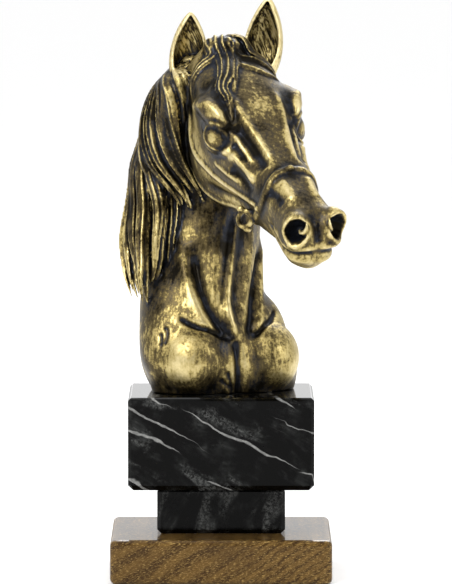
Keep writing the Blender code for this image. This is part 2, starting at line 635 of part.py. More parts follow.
def ear(root, tip, facing, collection):
    """A leaf-shaped cup: arcs that widen and close again from root to tip, with a wall."""
    share = np.linspace(0, 1, 26)[:, None]
    width = EAR_WIDTH / 2 * (np.sin(math.pi / 2 * np.clip((1.003 - share) / 0.66, 0, 1)) ** 0.68
                             * (1 - 0.25 * np.clip(1 - share / 0.34, 0, 1) ** 2))
    open_half = np.radians(62 * np.sin(math.pi * np.clip(share * 1.05, 0, 1)) ** 0.5 + 4)
    outer = np.linspace(0, 1, 22)[None, :]
    angle = open_half + outer * (2 * math.pi - 2 * open_half)
    wall = np.minimum(EAR_WALL, 0.62 * width)
    hollow = (width - wall) * np.clip((share - 0.06) * 7, 0.05, 1)
    radius = np.concatenate([width + 0 * angle, hollow + 0 * angle], 1)
    angle = np.concatenate([angle, angle[:, ::-1]], 1)
    start = np.array(root, float)
    stem = np.array(tip, float) - start
    axis = unit_rows(stem)
    front = np.array(facing, float)
    front = unit_rows(front - axis * (front @ axis))
    side = np.cross(axis, front)
    lean = 2.2 * np.sin(math.pi * share)[..., None]
    ring = start + share[..., None] * stem - lean * front
    ring = ring + (radius * np.cos(angle) * 0.8)[..., None] * front
    ring = ring + (radius * np.sin(angle))[..., None] * side
    return loft("ear", ring * UNIT + np.array([0, 0, FOOT]), collection)


def halter_ring(collection):
    """The ring on each side of the jaw where the halter's straps meet, with knots on it."""
    turn = np.linspace(0, 2 * math.pi, 16, endpoint=False)
    oval = np.stack([0 * turn, RING_HALF[0] * np.cos(turn), RING_HALF[1] * np.sin(turn)], -1)
    for side in (-1, 1):
        axes = facing_axes(RING_FACES, side)
        centre = head_point(np.array(RING) * (1, side, 1))
        tube("ring", [(centre + oval * UNIT @ axes, np.full(len(turn), RING_TUBE))], collection, closed=True)
        for knot in RING_KNOTS:
            ball("knot", centre + np.array(knot) * UNIT @ axes, np.array(KNOT_HALF) * UNIT, axes, collection)


def largest_skin(mesh):
    """Keep the largest connected skin: small loose crumbs and sealed inner voids are removed."""
    ends = np.empty(len(mesh.edges) * 2, np.int32)
    mesh.edges.foreach_get("vertices", ends)
    ends = ends.reshape(-1, 2)
    label = np.arange(len(mesh.vertices))
    while True:
        before = label.copy()
        np.minimum.at(label, ends[:, 0], label[ends[:, 1]])
        np.minimum.at(label, ends[:, 1], label[ends[:, 0]])
        label = label[label]
        if np.array_equal(before, label):
            break
    keep = np.bincount(label).argmax()
    work = bmesh.new()
    work.from_mesh(mesh)
    work.verts.ensure_lookup_table()
    bmesh.ops.delete(work, geom=[work.verts[k] for k in np.flatnonzero(label != keep)], context="VERTS")
    work.to_mesh(mesh)
    work.free()


def bust(parts, cutters):
    """The casting: fused body, carved lines, hair and ears, fused again, thinned and cut flat below."""
    loft("head", head_rings(), parts)
    loft("neck", neck_rings(), parts)
    muscles(parts)
    body = merged("body", list(parts.objects), parts)
    fuse(body, FUSE_SHARE * BUST_HEIGHT)
    relax(body.data, 12)
    carve(body.data, both_sides(HEAD_LINES) + neck_lines())
    sockets(body.data)
    carve(body.data, both_sides(STRAP_LINES))
    hair(body.data, parts)
    eyes(parts)
    halter_ring(parts)
    for root, tip, facing in EARS:
        ear(root, tip, facing, parts)
    item = merged("horse_bust", list(parts.objects), parts)
    fuse(item, DETAIL_SHARE * BUST_HEIGHT)
    largest_skin(item.data)
    relax(item.data, 1)
    thin = item.modifiers.new("thin", "DECIMATE")
    thin.ratio = BUST_TRIANGLES / (2 * len(item.data.polygons))
    depth = 0.2 * BUST_HEIGHT
    ground = box("foot_cutter", (BUST_HEIGHT, BUST_HEIGHT, depth), FOOT - depth, cutters)
    ground.hide_render = True
    ground.display_type = "WIRE"
    cut = item.modifiers.new("flat_foot", "BOOLEAN")
    cut.operation = "DIFFERENCE"
    cut.object = ground
    return item


def box(name, size, bottom, collection):
    """A box standing at a height, centred over the origin."""
    mesh = bpy.data.meshes.new(name)
    work = bmesh.new()
    bmesh.ops.create_cube(work, size=1.0, matrix=Matrix.Diagonal((*size, 1)))
    work.to_mesh(mesh)
    work.free()
    item = new_object(name, mesh, collection)
    item.location = (0, 0, bottom + size[2] / 2)
    return item


def edged(item, width, segments, upper_share=1.0):
    """Chamfer or round a block: the width is cut below, and a share of it on all the other edges."""
    weight = item.data.attributes.new("bevel_weight_edge", "FLOAT", "EDGE")
    for edge in item.data.edges:
        below = all(item.data.vertices[end].co.z < 0 for end in edge.vertices)
        weight.data[edge.index].value = 1.0 if below else upper_share
    bevel = item.modifiers.new("edges", "BEVEL")
    bevel.width = width
    bevel.segments = segments
    bevel.limit_method = "WEIGHT"
    return item


def painted(item, name, colour, roughness, metallic):
    """Give the object its own material."""
    material = bpy.data.materials.new(name)
    material.use_nodes = True
    shader = material.node_tree.nodes["Principled BSDF"]
    shader.inputs["Base Color"].default_value = (*colour, 1)
    shader.inputs["Roughness"].default_value = roughness
    shader.inputs["Metallic"].default_value = metallic
    item.data.materials.clear()
    item.data.materials.append(material)


def main():
    """Build the trophy."""
    clear_scene()
    parts = bpy.data.collections.new("horse_trophy")
    cutters = bpy.data.collections.new("cutters")
    for collection in (parts, cutters):
        bpy.context.scene.collection.children.link(collection)
    casting = bust(parts, cutters)
    painted(casting, "antique_gold", (0.33, 0.25, 0.10), 0.35, 0.8)
    wood = box("wood_base", (WOOD_WIDTH, WOOD_DEPTH, WOOD_HEIGHT), 0, parts)
    painted(edged(wood, WOOD_ROUNDING, 3), "walnut", (0.16, 0.08, 0.035), 0.45, 0.0)
    lower = box("lower_marble_block", (LOWER_WIDTH, LOWER_DEPTH, LOWER_HEIGHT), LOWER_BOTTOM, parts)
    painted(edged(lower, LOWER_CHAMFER, 1), "black_marble_lower", (0.012, 0.012, 0.014), 0.12, 0.0)
    upper = box("upper_marble_block", (UPPER_WIDTH, UPPER_DEPTH, UPPER_HEIGHT), UPPER_BOTTOM, parts)
    edged(upper, UPPER_CHAMFER, 1, UPPER_EDGE_SHARE)
    painted(upper, "black_marble_upper", (0.012, 0.012, 0.014), 0.12, 0.0)


main()
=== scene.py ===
# %% [markdown]
# # A horse trophy, from the fixed frame to the finished look
#
# The trophy is a cast bust of a haltered horse on two black marble blocks and a walnut base. The solid
# model gives every piece its size and place. This script loads it as a frame, models the casting again
# with its fine carving, and gives each piece the finish that the real one has.

# %% Load the frame
import math

import bmesh
import bpy
import numpy as np
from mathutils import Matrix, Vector
from mathutils.bvhtree import BVHTree


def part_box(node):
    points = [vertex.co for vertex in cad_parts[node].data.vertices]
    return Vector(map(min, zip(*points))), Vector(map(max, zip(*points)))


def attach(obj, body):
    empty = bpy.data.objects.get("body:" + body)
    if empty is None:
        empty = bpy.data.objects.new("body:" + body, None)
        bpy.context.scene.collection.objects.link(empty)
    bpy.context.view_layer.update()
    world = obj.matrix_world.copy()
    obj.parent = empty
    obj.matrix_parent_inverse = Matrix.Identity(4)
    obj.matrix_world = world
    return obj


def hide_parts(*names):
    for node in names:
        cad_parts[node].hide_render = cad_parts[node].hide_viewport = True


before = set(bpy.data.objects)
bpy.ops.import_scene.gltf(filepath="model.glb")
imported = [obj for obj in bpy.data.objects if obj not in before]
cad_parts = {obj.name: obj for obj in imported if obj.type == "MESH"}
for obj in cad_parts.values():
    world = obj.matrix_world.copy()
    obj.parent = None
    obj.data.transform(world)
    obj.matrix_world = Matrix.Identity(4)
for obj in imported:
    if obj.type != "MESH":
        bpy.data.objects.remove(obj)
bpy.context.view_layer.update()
print("nodes in the frame:", sorted(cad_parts))

# %% [markdown]
# ## Measures
#
# The sculptor's unit is a millimetre on this bust. The foot of the bust is the bottom of its node, so
# the carving stands on the marble wherever the frame puts it. The head has a frame of its own: one axis
# runs along the nose, one to the horse's left and one up out of the forehead, and head features are
# given as shares of the head's length, so that both sides come from one set of numbers.

# %% Measures and the head's own axes
UNIT = 0.001
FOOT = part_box("horse_bust")[0][2]
HEAD_LENGTH = 0.122
HEAD_YAW = 25.6
HEAD_DROP = 34.9
HEAD_ROLL = 6.0


def bust_point(place):
    """World place of a point given in millimetres from the middle of the foot."""
    return np.asarray(place, float) * UNIT + np.array([0, 0, FOOT])


def head_axes():
    """Rows are unit vectors to the muzzle, to the horse's left and out of the forehead.

    The first comes from the yaw and the drop; the other two are level and square to it, then turned
    about it by the roll."""
    yaw, drop, roll = (math.radians(v) for v in (HEAD_YAW, HEAD_DROP, HEAD_ROLL))
    along = np.array([math.sin(yaw) * math.cos(drop), -math.cos(yaw) * math.cos(drop), -math.sin(drop)])
    level = np.array([math.cos(yaw), math.sin(yaw), 0.0])
    upright = np.cross(along, level)
    upright = upright if upright[2] > 0 else -upright
    left = math.cos(roll) * level + math.sin(roll) * upright
    return np.stack([along, left, math.cos(roll) * upright - math.sin(roll) * level])


POLL = bust_point((1.8, -14, 150.9))
HEAD_AXES = head_axes()


def head_point(share):
    """World place: the poll plus the head's length times the shares along its three axes."""
    return POLL + HEAD_LENGTH * (np.asarray(share, float) @ HEAD_AXES)


def on_side(share, side):
    """Shares or directions for one side of the head: the sideways ones change their sign."""
    return np.asarray(share, float) * (1, side, 1)


print("muzzle points to", HEAD_AXES[0].round(3))

# %% [markdown]
# ## Smooth curves through a few numbers
#
# A sculptor sets out a bust with a few templates cut across it and blends between them by eye. Here the
# templates are rows of numbers, and a cubic curve through each column does the blending. Its slope at a
# row is the average of the slopes on both sides, weighted so that uneven spacing doesn't make it swing.

# %% Curves through rows of numbers
def through(knots, rows, where):
    """Rows read at `where`: a cubic in each gap that meets the rows and the averaged slopes at them."""
    knots = np.asarray(knots, float)
    rows = np.asarray(rows, float).reshape(len(knots), -1)
    span = np.diff(knots)[:, None]
    slope = np.diff(rows, axis=0) / span
    inner = (slope[:-1] * span[1:] + slope[1:] * span[:-1]) / (span[:-1] + span[1:])
    tangent = np.vstack([slope[:1], inner, slope[-1:]])
    where = np.atleast_1d(np.asarray(where, float))
    i = np.clip(np.searchsorted(knots, where, side="right") - 1, 0, len(span) - 1)
    t = ((where - knots[i]) / span[i, 0])[:, None]
    return ((2 * t**3 - 3 * t**2 + 1) * rows[i] + (t**3 - 2 * t**2 + t) * span[i] * tangent[i]
            + (3 * t**2 - 2 * t**3) * rows[i + 1] + (t**3 - t**2) * span[i] * tangent[i + 1])


def smooth_line(points, count=40):
    """A smooth line through a few points, read at even steps."""
    return through(np.linspace(0, 1, len(points)), points, np.linspace(0, 1, count))


def unit_rows(vectors):
    """Each vector divided by its length."""
    return vectors / np.linalg.norm(vectors, axis=-1, keepdims=True)


# %% [markdown]
# ## Neck and chest
#
# The neck and chest are one swelling column that leans back, twists and narrows into the throat. It is a
# stack of ovals: each has a height over the foot, a centre, a width, a depth and a turn. An angle round
# the oval finds a place on it, nought at the throat and half a turn at the crest, so the mane and the
# grooves of the neck can be drawn in the same two coordinates later.

# %% Neck sections
NECK_SECTIONS = (
    (-8, -0.2, 6, 58, 41, 22),
    (0, -0.2, 5.5, 67, 45, 22),
    (6, -0.4, 5, 70, 48, 22),
    (13, -2.1, 5, 73.2, 51, 23),
    (24, -4.9, 6.5, 70.2, 52, 25),
    (32, -7.5, 9, 64.2, 53, 26),
    (39, -9.5, 11.5, 59.3, 53, 27),
    (48, -10, 15, 54.5, 54, 28),
    (57, -9.2, 18, 50.5, 54, 29),
    (68, -8.6, 21, 48, 54, 30),
    (85, -6.5, 24, 46, 54, 30),
    (105, -9, 22.5, 44.5, 51, 28),
    (125, -9, 13, 38, 45, 27),
    (140, -5, 2, 32, 37, 27),
    (152, 0, -8, 25, 27, 26),
    (160, 1, -12, 14, 16, 26),
)


def neck_point(height, degrees, out=0.0):
    """Place on the neck: across = (half width + out) * sine, a little fuller to the front, and
    ahead = (half depth + out) * cosine, both turned by the section's own angle."""
    height, degrees, out = np.broadcast_arrays(*(np.asarray(v, float) for v in (height, degrees, out)))
    table = np.asarray(NECK_SECTIONS, float)
    row = through(table[:, 0], table[:, 1:], height.ravel()).reshape(height.shape + (5,))
    angle = np.radians(degrees)
    turn = np.radians(row[..., 4])
    forward = np.stack([np.sin(turn), -np.cos(turn)], -1)
    sideways = np.stack([np.cos(turn), np.sin(turn)], -1)
    across = (row[..., 2] / 2 + out) * np.sin(angle) * (1 + 0.15 * np.cos(angle))
    ahead = (row[..., 3] / 2 + out) * np.cos(angle)
    flat = row[..., :2] + across[..., None] * sideways + ahead[..., None] * forward
    return bust_point(np.concatenate([flat, height[..., None]], -1))


def neck_surface(count=120, around=96):
    """Grid of the neck: height runs up the rows and the angle round the columns."""
    heights = np.linspace(NECK_SECTIONS[0][0], NECK_SECTIONS[-1][0], count)
    return neck_point(heights[:, None], np.linspace(0, 360, around, endpoint=False)[None, :])


# %% [markdown]
# ## Head
#
# The head is a loft too, through sections square to the nose. Each section has six heights: the top
# line, the edge of the nose, the eye's level, the cheek, the jaw and the underline, with a half width
# for the four in between. A closed curve through those points, mirrored, gives a skull that is broad at
# the brow, deep at the cheek, pinched above the bars of the mouth and full again at the muzzle.

# %% Head sections, in hundredths of the head's length
HEAD_SECTIONS = (
    (-13, -11, 4, -12, 7, -17, 7, -24, 4, -29, -31),
    (-6, 1, 7, -1, 11, -9, 10, -22, 6, -31, -34),
    (2, 4.0, 9.5, 2.4, 13.5, -5, 12.5, -18, 8.5, -34, -38),
    (10, 5.4, 11, 3.8, 16, -3, 14, -18, 10, -38, -42),
    (19, 6, 11.5, 4.4, 18, -2.5, 15.5, -19, 11.5, -41, -44.5),
    (28, 5.4, 11, 4.2, 18, -3.5, 16, -19, 11.5, -40, -43.5),
    (36, 4.2, 10, 2.8, 16.2, -6, 15.5, -18, 10.5, -37, -41),
    (45, 2.5, 8.8, 1.4, 14.6, -8, 14.5, -17, 9, -32, -36),
    (55, 1.0, 7.6, 0, 11.9, -8, 12.5, -16, 7.5, -28, -32),
    (65, 0.4, 7, -0.5, 10.3, -7, 11, -14, 7, -25.5, -29.5),
    (75, 0.3, 6.6, -0.6, 9.6, -5.5, 9.8, -11.5, 6.8, -22, -25.5),
    (82, 0.2, 6.4, -0.9, 9.2, -5, 10, -11.5, 6.8, -19.5, -23.2),
    (88, -0.3, 6.6, -1.4, 10, -5, 10.2, -12, 6.8, -19.5, -22.8),
    (92.5, -1.6, 6.4, -2.4, 9.6, -6, 9.6, -12.5, 6.4, -19.5, -23.3),
    (96, -4, 5, -4.6, 7.8, -7.5, 8.2, -12.5, 5.6, -18.5, -22),
    (98.6, -7.5, 2.6, -8, 4, -9.5, 4, -12.5, 2.6, -15.5, -17.5),
)


def head_surface(count=160, around=96):
    """Grid of the head: sections run down the rows, and a closed curve through ten points round each."""
    table = np.asarray(HEAD_SECTIONS, float) / 100
    along = np.linspace(table[0, 0], table[-1, 0], count)
    row = through(table[:, 0], table[:, 1:], along)
    zero = np.zeros(count)
    side = [(row[:, k], row[:, k + 1]) for k in (1, 3, 5, 7)]
    section = [(zero, row[:, 0]), *side, (zero, row[:, 9]), *[(-across, up) for across, up in side[::-1]]]
    corners = np.stack([np.stack([along, across, up], -1) for across, up in section])
    corners = np.concatenate([corners[-3:], corners, corners[:3]])
    where = np.arange(around) * len(section) / around
    curve = through(np.arange(-3, len(section) + 3), corners.reshape(len(corners), -1), where)
    return head_point(curve.reshape(around, count, 3).transpose(1, 0, 2))


# %% [markdown]
# ## From grids to meshes
#
# Every form below is a grid of points whose columns close on themselves. One function joins the grid's
# neighbours with four-sided faces and shuts both ends with a fan of triangles. Balls, tubes and locks of
# hair are grids as well, so the whole casting is a heap of closed skins that can be fused.

# %% Closed skins over grids
def skin(rings):
    """Points and faces of a closed skin: quads between neighbours, and a fan at each end."""
    count, around, _ = rings.shape
    i, j = np.meshgrid(np.arange(count - 1), np.arange(around), indexing="ij")
    k = (j + 1) % around
    quads = np.stack([i * around + j, i * around + k, (i + 1) * around + k, (i + 1) * around + j], -1)
    j = np.arange(around)
    k = (j + 1) % around
    last = (count - 1) * around
    start = np.stack([np.full(around, count * around), k, j], -1)
    end = np.stack([np.full(around, count * around + 1), last + j, last + k], -1)
    points = np.vstack([rings.reshape(-1, 3), rings[0].mean(0), rings[-1].mean(0)])
    return points, quads.reshape(-1, 4), np.vstack([start, end])


def looped_skin(rings):
    """Points and faces of a ring-shaped skin, whose last section joins its first."""
    count, around, _ = rings.shape
    i, j = np.meshgrid(np.arange(count), np.arange(around), indexing="ij")
    n, k = (i + 1) % count, (j + 1) % around
    quads = np.stack([i * around + j, i * around + k, n * around + k, n * around + j], -1)
    return rings.reshape(-1, 3), quads.reshape(-1, 4), np.empty((0, 3), int)


def new_object(name, data):
    """An object for a mesh, lamp or camera, put into the scene."""
    item = bpy.data.objects.new(name, data)
    bpy.context.scene.collection.objects.link(item)
    return item


def mesh_piece(name, skins):
    """One object that holds several skins, each turned so that its faces look outwards."""
    points, faces, first = [], [], 0
    for skin_points, quads, triangles in skins:
        points.append(skin_points)
        faces += (quads + first).tolist() + (triangles + first).tolist()
        first += len(skin_points)
    mesh = bpy.data.meshes.new(name)
    mesh.from_pydata(np.vstack(points).tolist(), [], faces)
    work = bmesh.new()
    work.from_mesh(mesh)
    bmesh.ops.recalc_face_normals(work, faces=work.faces)
    work.to_mesh(mesh)
    work.free()
    return new_object(name, mesh)


def ball(centre, radii, axes, rows=24, around=36):
    """A stretched ball: cosine and sine of two angles, times its half lengths, along three axes."""
    down = np.linspace(0.04, math.pi - 0.04, rows)[:, None]
    turn = np.linspace(0, 2 * math.pi, around, endpoint=False)[None, :]
    grid = np.stack([np.sin(down) * np.cos(turn), np.sin(down) * np.sin(turn), np.cos(down) + 0 * turn], -1)
    return skin(centre + (grid * radii) @ axes)


# %% [markdown]
# ## Muscles
#
# Breast, shoulder, cheek, brow, nostril and chin stand out as rounded masses. A stretched ball sunk into
# the loft gives each one, and the later fusing and rubbing down turn the hard joins into soft ones.

# %% Muscle masses
CHEST_TURN = 23
CHEST_MIDDLE = (-1, 5, 0)
BREAST = ((10, 18, 15), (18, 16, 17))
SHOULDER = ((-6, 17, 19), (25, 17, 26))
CHIN = ((0.905, 0, -0.19), (0.06, 0.08, 0.04))
CHEEK = ((0.20, 0.09, -0.22), (0.185, 0.07, 0.19))
BROW = ((0.264, 0.149, -0.010), (0.108, 0.051, 0.047))
NOSTRIL_SWELL = ((0.91, 0.072, -0.045), (0.05, 0.05, 0.062))
UPPER_LIP = ((0.90, 0.05, -0.105), (0.08, 0.06, 0.04))


def chest_ball(shape, side):
    """A ball given in millimetres ahead, aside and up from the chest's middle, in its turned axes."""
    turn = math.radians(CHEST_TURN)
    axes = np.array([[math.sin(turn), -math.cos(turn), 0], [math.cos(turn), math.sin(turn), 0], [0, 0, 1]])
    place, size = shape
    return ball(bust_point(CHEST_MIDDLE) + on_side(place, side) * UNIT @ axes, np.array(size) * UNIT, axes)


def head_ball(shape, side):
    """A ball whose place and half lengths are shares of the head's length."""
    place, size = shape
    return ball(head_point(on_side(place, side)), np.array(size) * HEAD_LENGTH, HEAD_AXES)


def muscles():
    """One ball for the chin, and the others in pairs."""
    skins = [head_ball(CHIN, 1)]
    for side in (-1, 1):
        skins += [chest_ball(shape, side) for shape in (BREAST, SHOULDER)]
        skins += [head_ball(shape, side) for shape in (CHEEK, BROW, NOSTRIL_SWELL, UPPER_LIP)]
    return skins


# %% [markdown]
# ## Fusing and rubbing down
#
# Clay masses are pressed together and rubbed until the joins are gone. The Remesh modifier does the
# pressing: it turns overlapping skins into one skin of small even squares. Moving each point part of the
# way to the middle of its neighbours, over and over, does the rubbing.

# %% Fusing, rubbing and reading meshes
def fuse(piece, voxel):
    """Replace the piece's mesh by one even skin round all its shapes."""
    modifier = piece.modifiers.new("fuse", "REMESH")
    modifier.mode = "VOXEL"
    modifier.voxel_size = voxel
    apply_modifiers(piece)


def apply_modifiers(piece):
    """Make the evaluated mesh the piece's own, and clear the modifiers."""
    mesh = bpy.data.meshes.new_from_object(piece.evaluated_get(bpy.context.evaluated_depsgraph_get()))
    piece.modifiers.clear()
    piece.data = mesh


def read_rows(collection, name, width):
    """A mesh collection's values as rows of an array."""
    values = np.empty(len(collection) * width, np.int32 if name == "vertices" else np.float32)
    collection.foreach_get(name, values)
    return values.reshape(-1, width)


def write_points(mesh, points):
    """Put the points back into the mesh."""
    mesh.vertices.foreach_set("co", points.astype(np.float32).ravel())
    mesh.update()


def smoothed(points, ends, rounds, pull=0.5):
    """Points moved, round after round, part of the way to the mean of their neighbours."""
    number = np.bincount(ends.ravel(), minlength=len(points))[:, None]
    for _ in range(rounds):
        total = np.stack([np.bincount(ends[:, 0], points[ends[:, 1], axis], len(points))
                          + np.bincount(ends[:, 1], points[ends[:, 0], axis], len(points))
                          for axis in range(points.shape[1])], -1)
        points = points + pull * (total / number - points)
    return points


def rub(mesh, rounds):
    """Rub the whole skin down."""
    points = read_rows(mesh.vertices, "co", 3).astype(float)
    write_points(mesh, smoothed(points, read_rows(mesh.edges, "vertices", 2), rounds))


ROUGH_VOXEL = 0.95 * UNIT
ROUGH_ROUNDS = 14
casting = mesh_piece("horse_bust_casting", [skin(neck_surface()), skin(head_surface()), *muscles()])
fuse(casting, ROUGH_VOXEL)
rub(casting.data, ROUGH_ROUNDS)
print("rough form:", len(casting.data.vertices), "points")

# %% [markdown]
# ## Carving lines
#
# A modelling tool drawn over the clay raises a ridge or cuts a groove along its path. Each carved line
# is a few points laid on the skin. Every point of the mesh near it moves along its own normal by the
# line's height times a bell curve of its distance, so a line has a width, a height and soft flanks. A
# higher power of the distance flattens the bell's top, which makes a strap. Each row below holds the
# half width, the height, that power and the line's points.

# %% Carved lines of the head and the neck
HEAD_LINES = (
    (1.9, 1.4, 2, ((0.26, 0.085, 0.05), (0.377, 0.078, 0.04), (0.49, 0.06, 0.02), (0.62, 0.045, 0.003))),
    (3.0, -2.8, 2, ((0.38, 0.115, 0.01), (0.50, 0.09, -0.005), (0.62, 0.07, -0.02))),
    (1.0, 0.8, 2, ((0.38, 0.13, -0.01), (0.46, 0.112, -0.025), (0.55, 0.10, -0.045))),
    (2.0, -1.2, 2, ((0.43, 0.14, -0.035), (0.50, 0.12, -0.04), (0.58, 0.102, -0.05))),
    (2.2, 1.8, 2, ((0.40, 0.155, -0.09), (0.46, 0.135, -0.068), (0.53, 0.115, -0.068),
                   (0.62, 0.10, -0.08))),
    (1.3, 0.9, 2, ((0.36, 0.155, -0.17), (0.45, 0.15, -0.15), (0.54, 0.13, -0.135))),
    (4.0, -1.6, 2, ((0.47, 0.15, -0.11), (0.56, 0.125, -0.11), (0.63, 0.11, -0.12))),
    (2.3, 1.5, 2, ((0.14, 0.18, -0.088), (0.212, 0.175, -0.025), (0.298, 0.16, 0.018), (0.367, 0.15, 0.030),
                   (0.405, 0.14, 0.017))),
    (4.5, -1.2, 2, ((0.11, 0.15, -0.05), (0.16, 0.155, -0.005), (0.195, 0.14, 0.03))),
    (1.1, 1.0, 2, ((0.08, 0.11, -0.36), (0.26, 0.12, -0.38), (0.38, 0.10, -0.35), (0.52, 0.085, -0.29),
                   (0.66, 0.07, -0.26))),
    (2.4, -1.3, 2, ((0.30, 0.13, -0.33), (0.42, 0.12, -0.28), (0.54, 0.11, -0.23), (0.62, 0.10, -0.20))),
    (1.1, -1.7, 2, ((0.755, 0.10, -0.161), (0.85, 0.10, -0.150), (0.93, 0.08, -0.138), (0.97, 0.04, -0.12),
                    (0.985, 0, -0.115))),
    (1.5, 0.9, 2, ((0.79, 0.10, -0.13), (0.87, 0.10, -0.122), (0.94, 0.075, -0.11), (0.98, 0, -0.095))),
    (1.8, 0.9, 2, ((0.79, 0.095, -0.185), (0.88, 0.095, -0.178), (0.95, 0.06, -0.165), (0.97, 0, -0.155))),
    (2.0, 1.0, 2, ((0.70, 0.05, 0.0), (0.76, 0.045, 0.0), (0.82, 0.045, 0.0))),
    (2.2, -1.5, 2, ((0.70, 0.09, -0.05), (0.76, 0.08, -0.035), (0.81, 0.07, -0.035))),
    (1.8, -0.9, 2, ((0.88, 0.005, 0.0), (0.93, 0.005, -0.02), (0.97, 0.005, -0.05), (0.985, 0.005, -0.09))),
)
STRAP_LINES = (
    (1.8, 1.2, 5, ((0.62, 0.08, -0.26), (0.69, 0.105, -0.13), (0.69, 0.09, -0.05), (0.67, 0.05, 0.0),
                   (0.66, 0, 0.005))),
    (1.3, 1.1, 5, ((0.68, 0.105, -0.14), (0.52, 0.12, -0.19), (0.34, 0.14, -0.24), (0.20, 0.155, -0.25),
                   (0.10, 0.145, -0.18), (0.03, 0.13, -0.10))),
)
NECK_SHIFT = 5
NECK_LINES = (
    (2.8, -3.0, 2, ((64, 44), (47, 28), (33, 15), (23, 5))),
    (3.6, 1.7, 2, ((68, 56), (50, 40), (35, 26), (25, 14))),
    (1.2, -2.0, 2, ((35, 46), (31.5, 34), (28.5, 21), (25, 9))),
    (3.6, 1.2, 2, ((86, 14), (64, 18), (44, 13), (30, 5))),
)
MIDDLE_LINES = (
    (2.2, 2.4, 2, ((82, 0), (60, 0), (38, 0), (22, 2))),
    (2.0, -2.6, 2, ((25, 1), (10, 0), (-6, 0))),
    (0.9, -1.0, 2, ((11, -8), (4, -6), (-3, -5))),
    (0.8, -0.8, 2, ((7, -14), (4, -9), (2, -6))),
    (0.8, -0.9, 2, ((31, -52), (27, -50), (22, -52))),
    (0.8, -0.9, 2, ((28, -57), (25, -55), (21, -56))),
)


def distance_to(points, line):
    """Distance to a line of points, and the share of its length at which the nearest place lies."""
    steps = np.diff(line, axis=0)
    lengths = np.linalg.norm(steps, axis=1)
    starts = np.concatenate([[0], np.cumsum(lengths)])
    nearest = np.full(len(points), np.inf)
    share = np.zeros(len(points))
    for first, step, length, start in zip(line[:-1], steps, lengths, starts):
        t = np.clip((points - first) @ step / length**2, 0, 1)
        gap = np.linalg.norm(points - first - t[:, None] * step, axis=1)
        closer = gap < nearest
        nearest[closer] = gap[closer]
        share[closer] = (start + t[closer] * length) / starts[-1]
    return nearest, share


def carve(piece, lines):
    """Move points along their normals by height * bell curve of (distance / half width)."""
    mesh = piece.data
    points = read_rows(mesh.vertices, "co", 3).astype(float)
    normals = read_rows(mesh.vertex_normals, "vector", 3)
    tree = BVHTree.FromObject(piece, bpy.context.evaluated_depsgraph_get())
    move = np.zeros(len(points))
    for half_width, height, flatness, line in lines:
        laid = np.array([tree.find_nearest(Vector(p))[0] for p in smooth_line(line)])
        reach = 3 * half_width * UNIT
        inside = (points > laid.min(0) - reach) & (points < laid.max(0) + reach)
        near = np.flatnonzero(np.all(inside, axis=1))
        gap, share = distance_to(points[near], laid)
        fade = np.clip(np.sin(np.pi * np.clip(share, 0.02, 0.98)) * 2.5, 0, 1) if flatness == 2 else 1.0
        move[near] += height * UNIT * fade * np.exp(-(gap / (half_width * UNIT)) ** flatness)
    write_points(mesh, points + move[:, None] * normals)


def both_sides(lines):
    """Head lines in world places, once for each side of the head."""
    return [(width, height, flatness, head_point(on_side(line, side)))
            for width, height, flatness, line in lines for side in (-1, 1)]


def neck_lines():
    """Neck lines in world places: the paired ones on both sides, and the middle ones once."""
    shift = np.array([0, NECK_SHIFT])
    rows = [(*line[:3], np.array(line[3]) * (1, side) + shift) for line in NECK_LINES for side in (-1, 1)]
    rows += [(*line[:3], np.array(line[3])) for line in MIDDLE_LINES]
    return [(width, height, flatness, neck_point(places[:, 0], places[:, 1]))
            for width, height, flatness, places in rows]


def facing_axes(towards, side):
    """Rows are unit vectors out of a face on the head, along it and up it, mirrored with the side."""
    out = unit_rows(on_side(towards, side) @ HEAD_AXES)
    along = unit_rows(np.cross(out, HEAD_AXES[2])) * side
    return np.stack([out, along, unit_rows(np.cross(along, out)) * side])


def sunk_oval(points, axes, centre, half_lengths, floor, rim, reach):
    """Move points along the axes' first row by floor * (1 - q squared) + rim * bell curve of q.

    q is the distance from the oval's middle over its half lengths, so that it is one on the edge."""
    offset = (points - centre) @ axes.T
    q = np.hypot(offset[:, 1] / half_lengths[0], offset[:, 2] / half_lengths[1]) / UNIT
    move = floor * np.clip(1 - q**2, 0, 1) ** 0.8 + rim * np.exp(-((q - 1.25) / 0.22) ** 2)
    return points + np.where(np.abs(offset[:, 0]) < reach * UNIT, move, 0)[:, None] * UNIT * axes[0]


NOSTRIL = (0.935, 0.073, -0.045)
NOSTRIL_FACES = (0.70, 0.60, 0.30)
EYE = (0.366, 0.167, -0.058)
EYE_FACES = (0.55, 0.74, 0.40)
NOSTRIL_HOLE = {"half_lengths": (4.6, 5.8), "floor": -7.5, "rim": 1.6, "reach": 10}
EYE_MOAT = {"half_lengths": (8.0, 6.4), "floor": -1.6, "rim": -1.0, "reach": 8}


def sink_nostrils_and_eyes(mesh):
    """Nostrils face ahead and outwards, with a thick rim; a shallow moat surrounds each eye."""
    points = read_rows(mesh.vertices, "co", 3).astype(float)
    for side in (-1, 1):
        for place, faces, oval in ((NOSTRIL, NOSTRIL_FACES, NOSTRIL_HOLE), (EYE, EYE_FACES, EYE_MOAT)):
            points = sunk_oval(points, facing_axes(faces, side), head_point(on_side(place, side)), **oval)
    write_points(mesh, points)


carve(casting, both_sides(HEAD_LINES) + neck_lines())
sink_nostrils_and_eyes(casting.data)
carve(casting, both_sides(STRAP_LINES))
print("carved lines:", 2 * len(HEAD_LINES + STRAP_LINES + NECK_LINES) + len(MIDDLE_LINES))

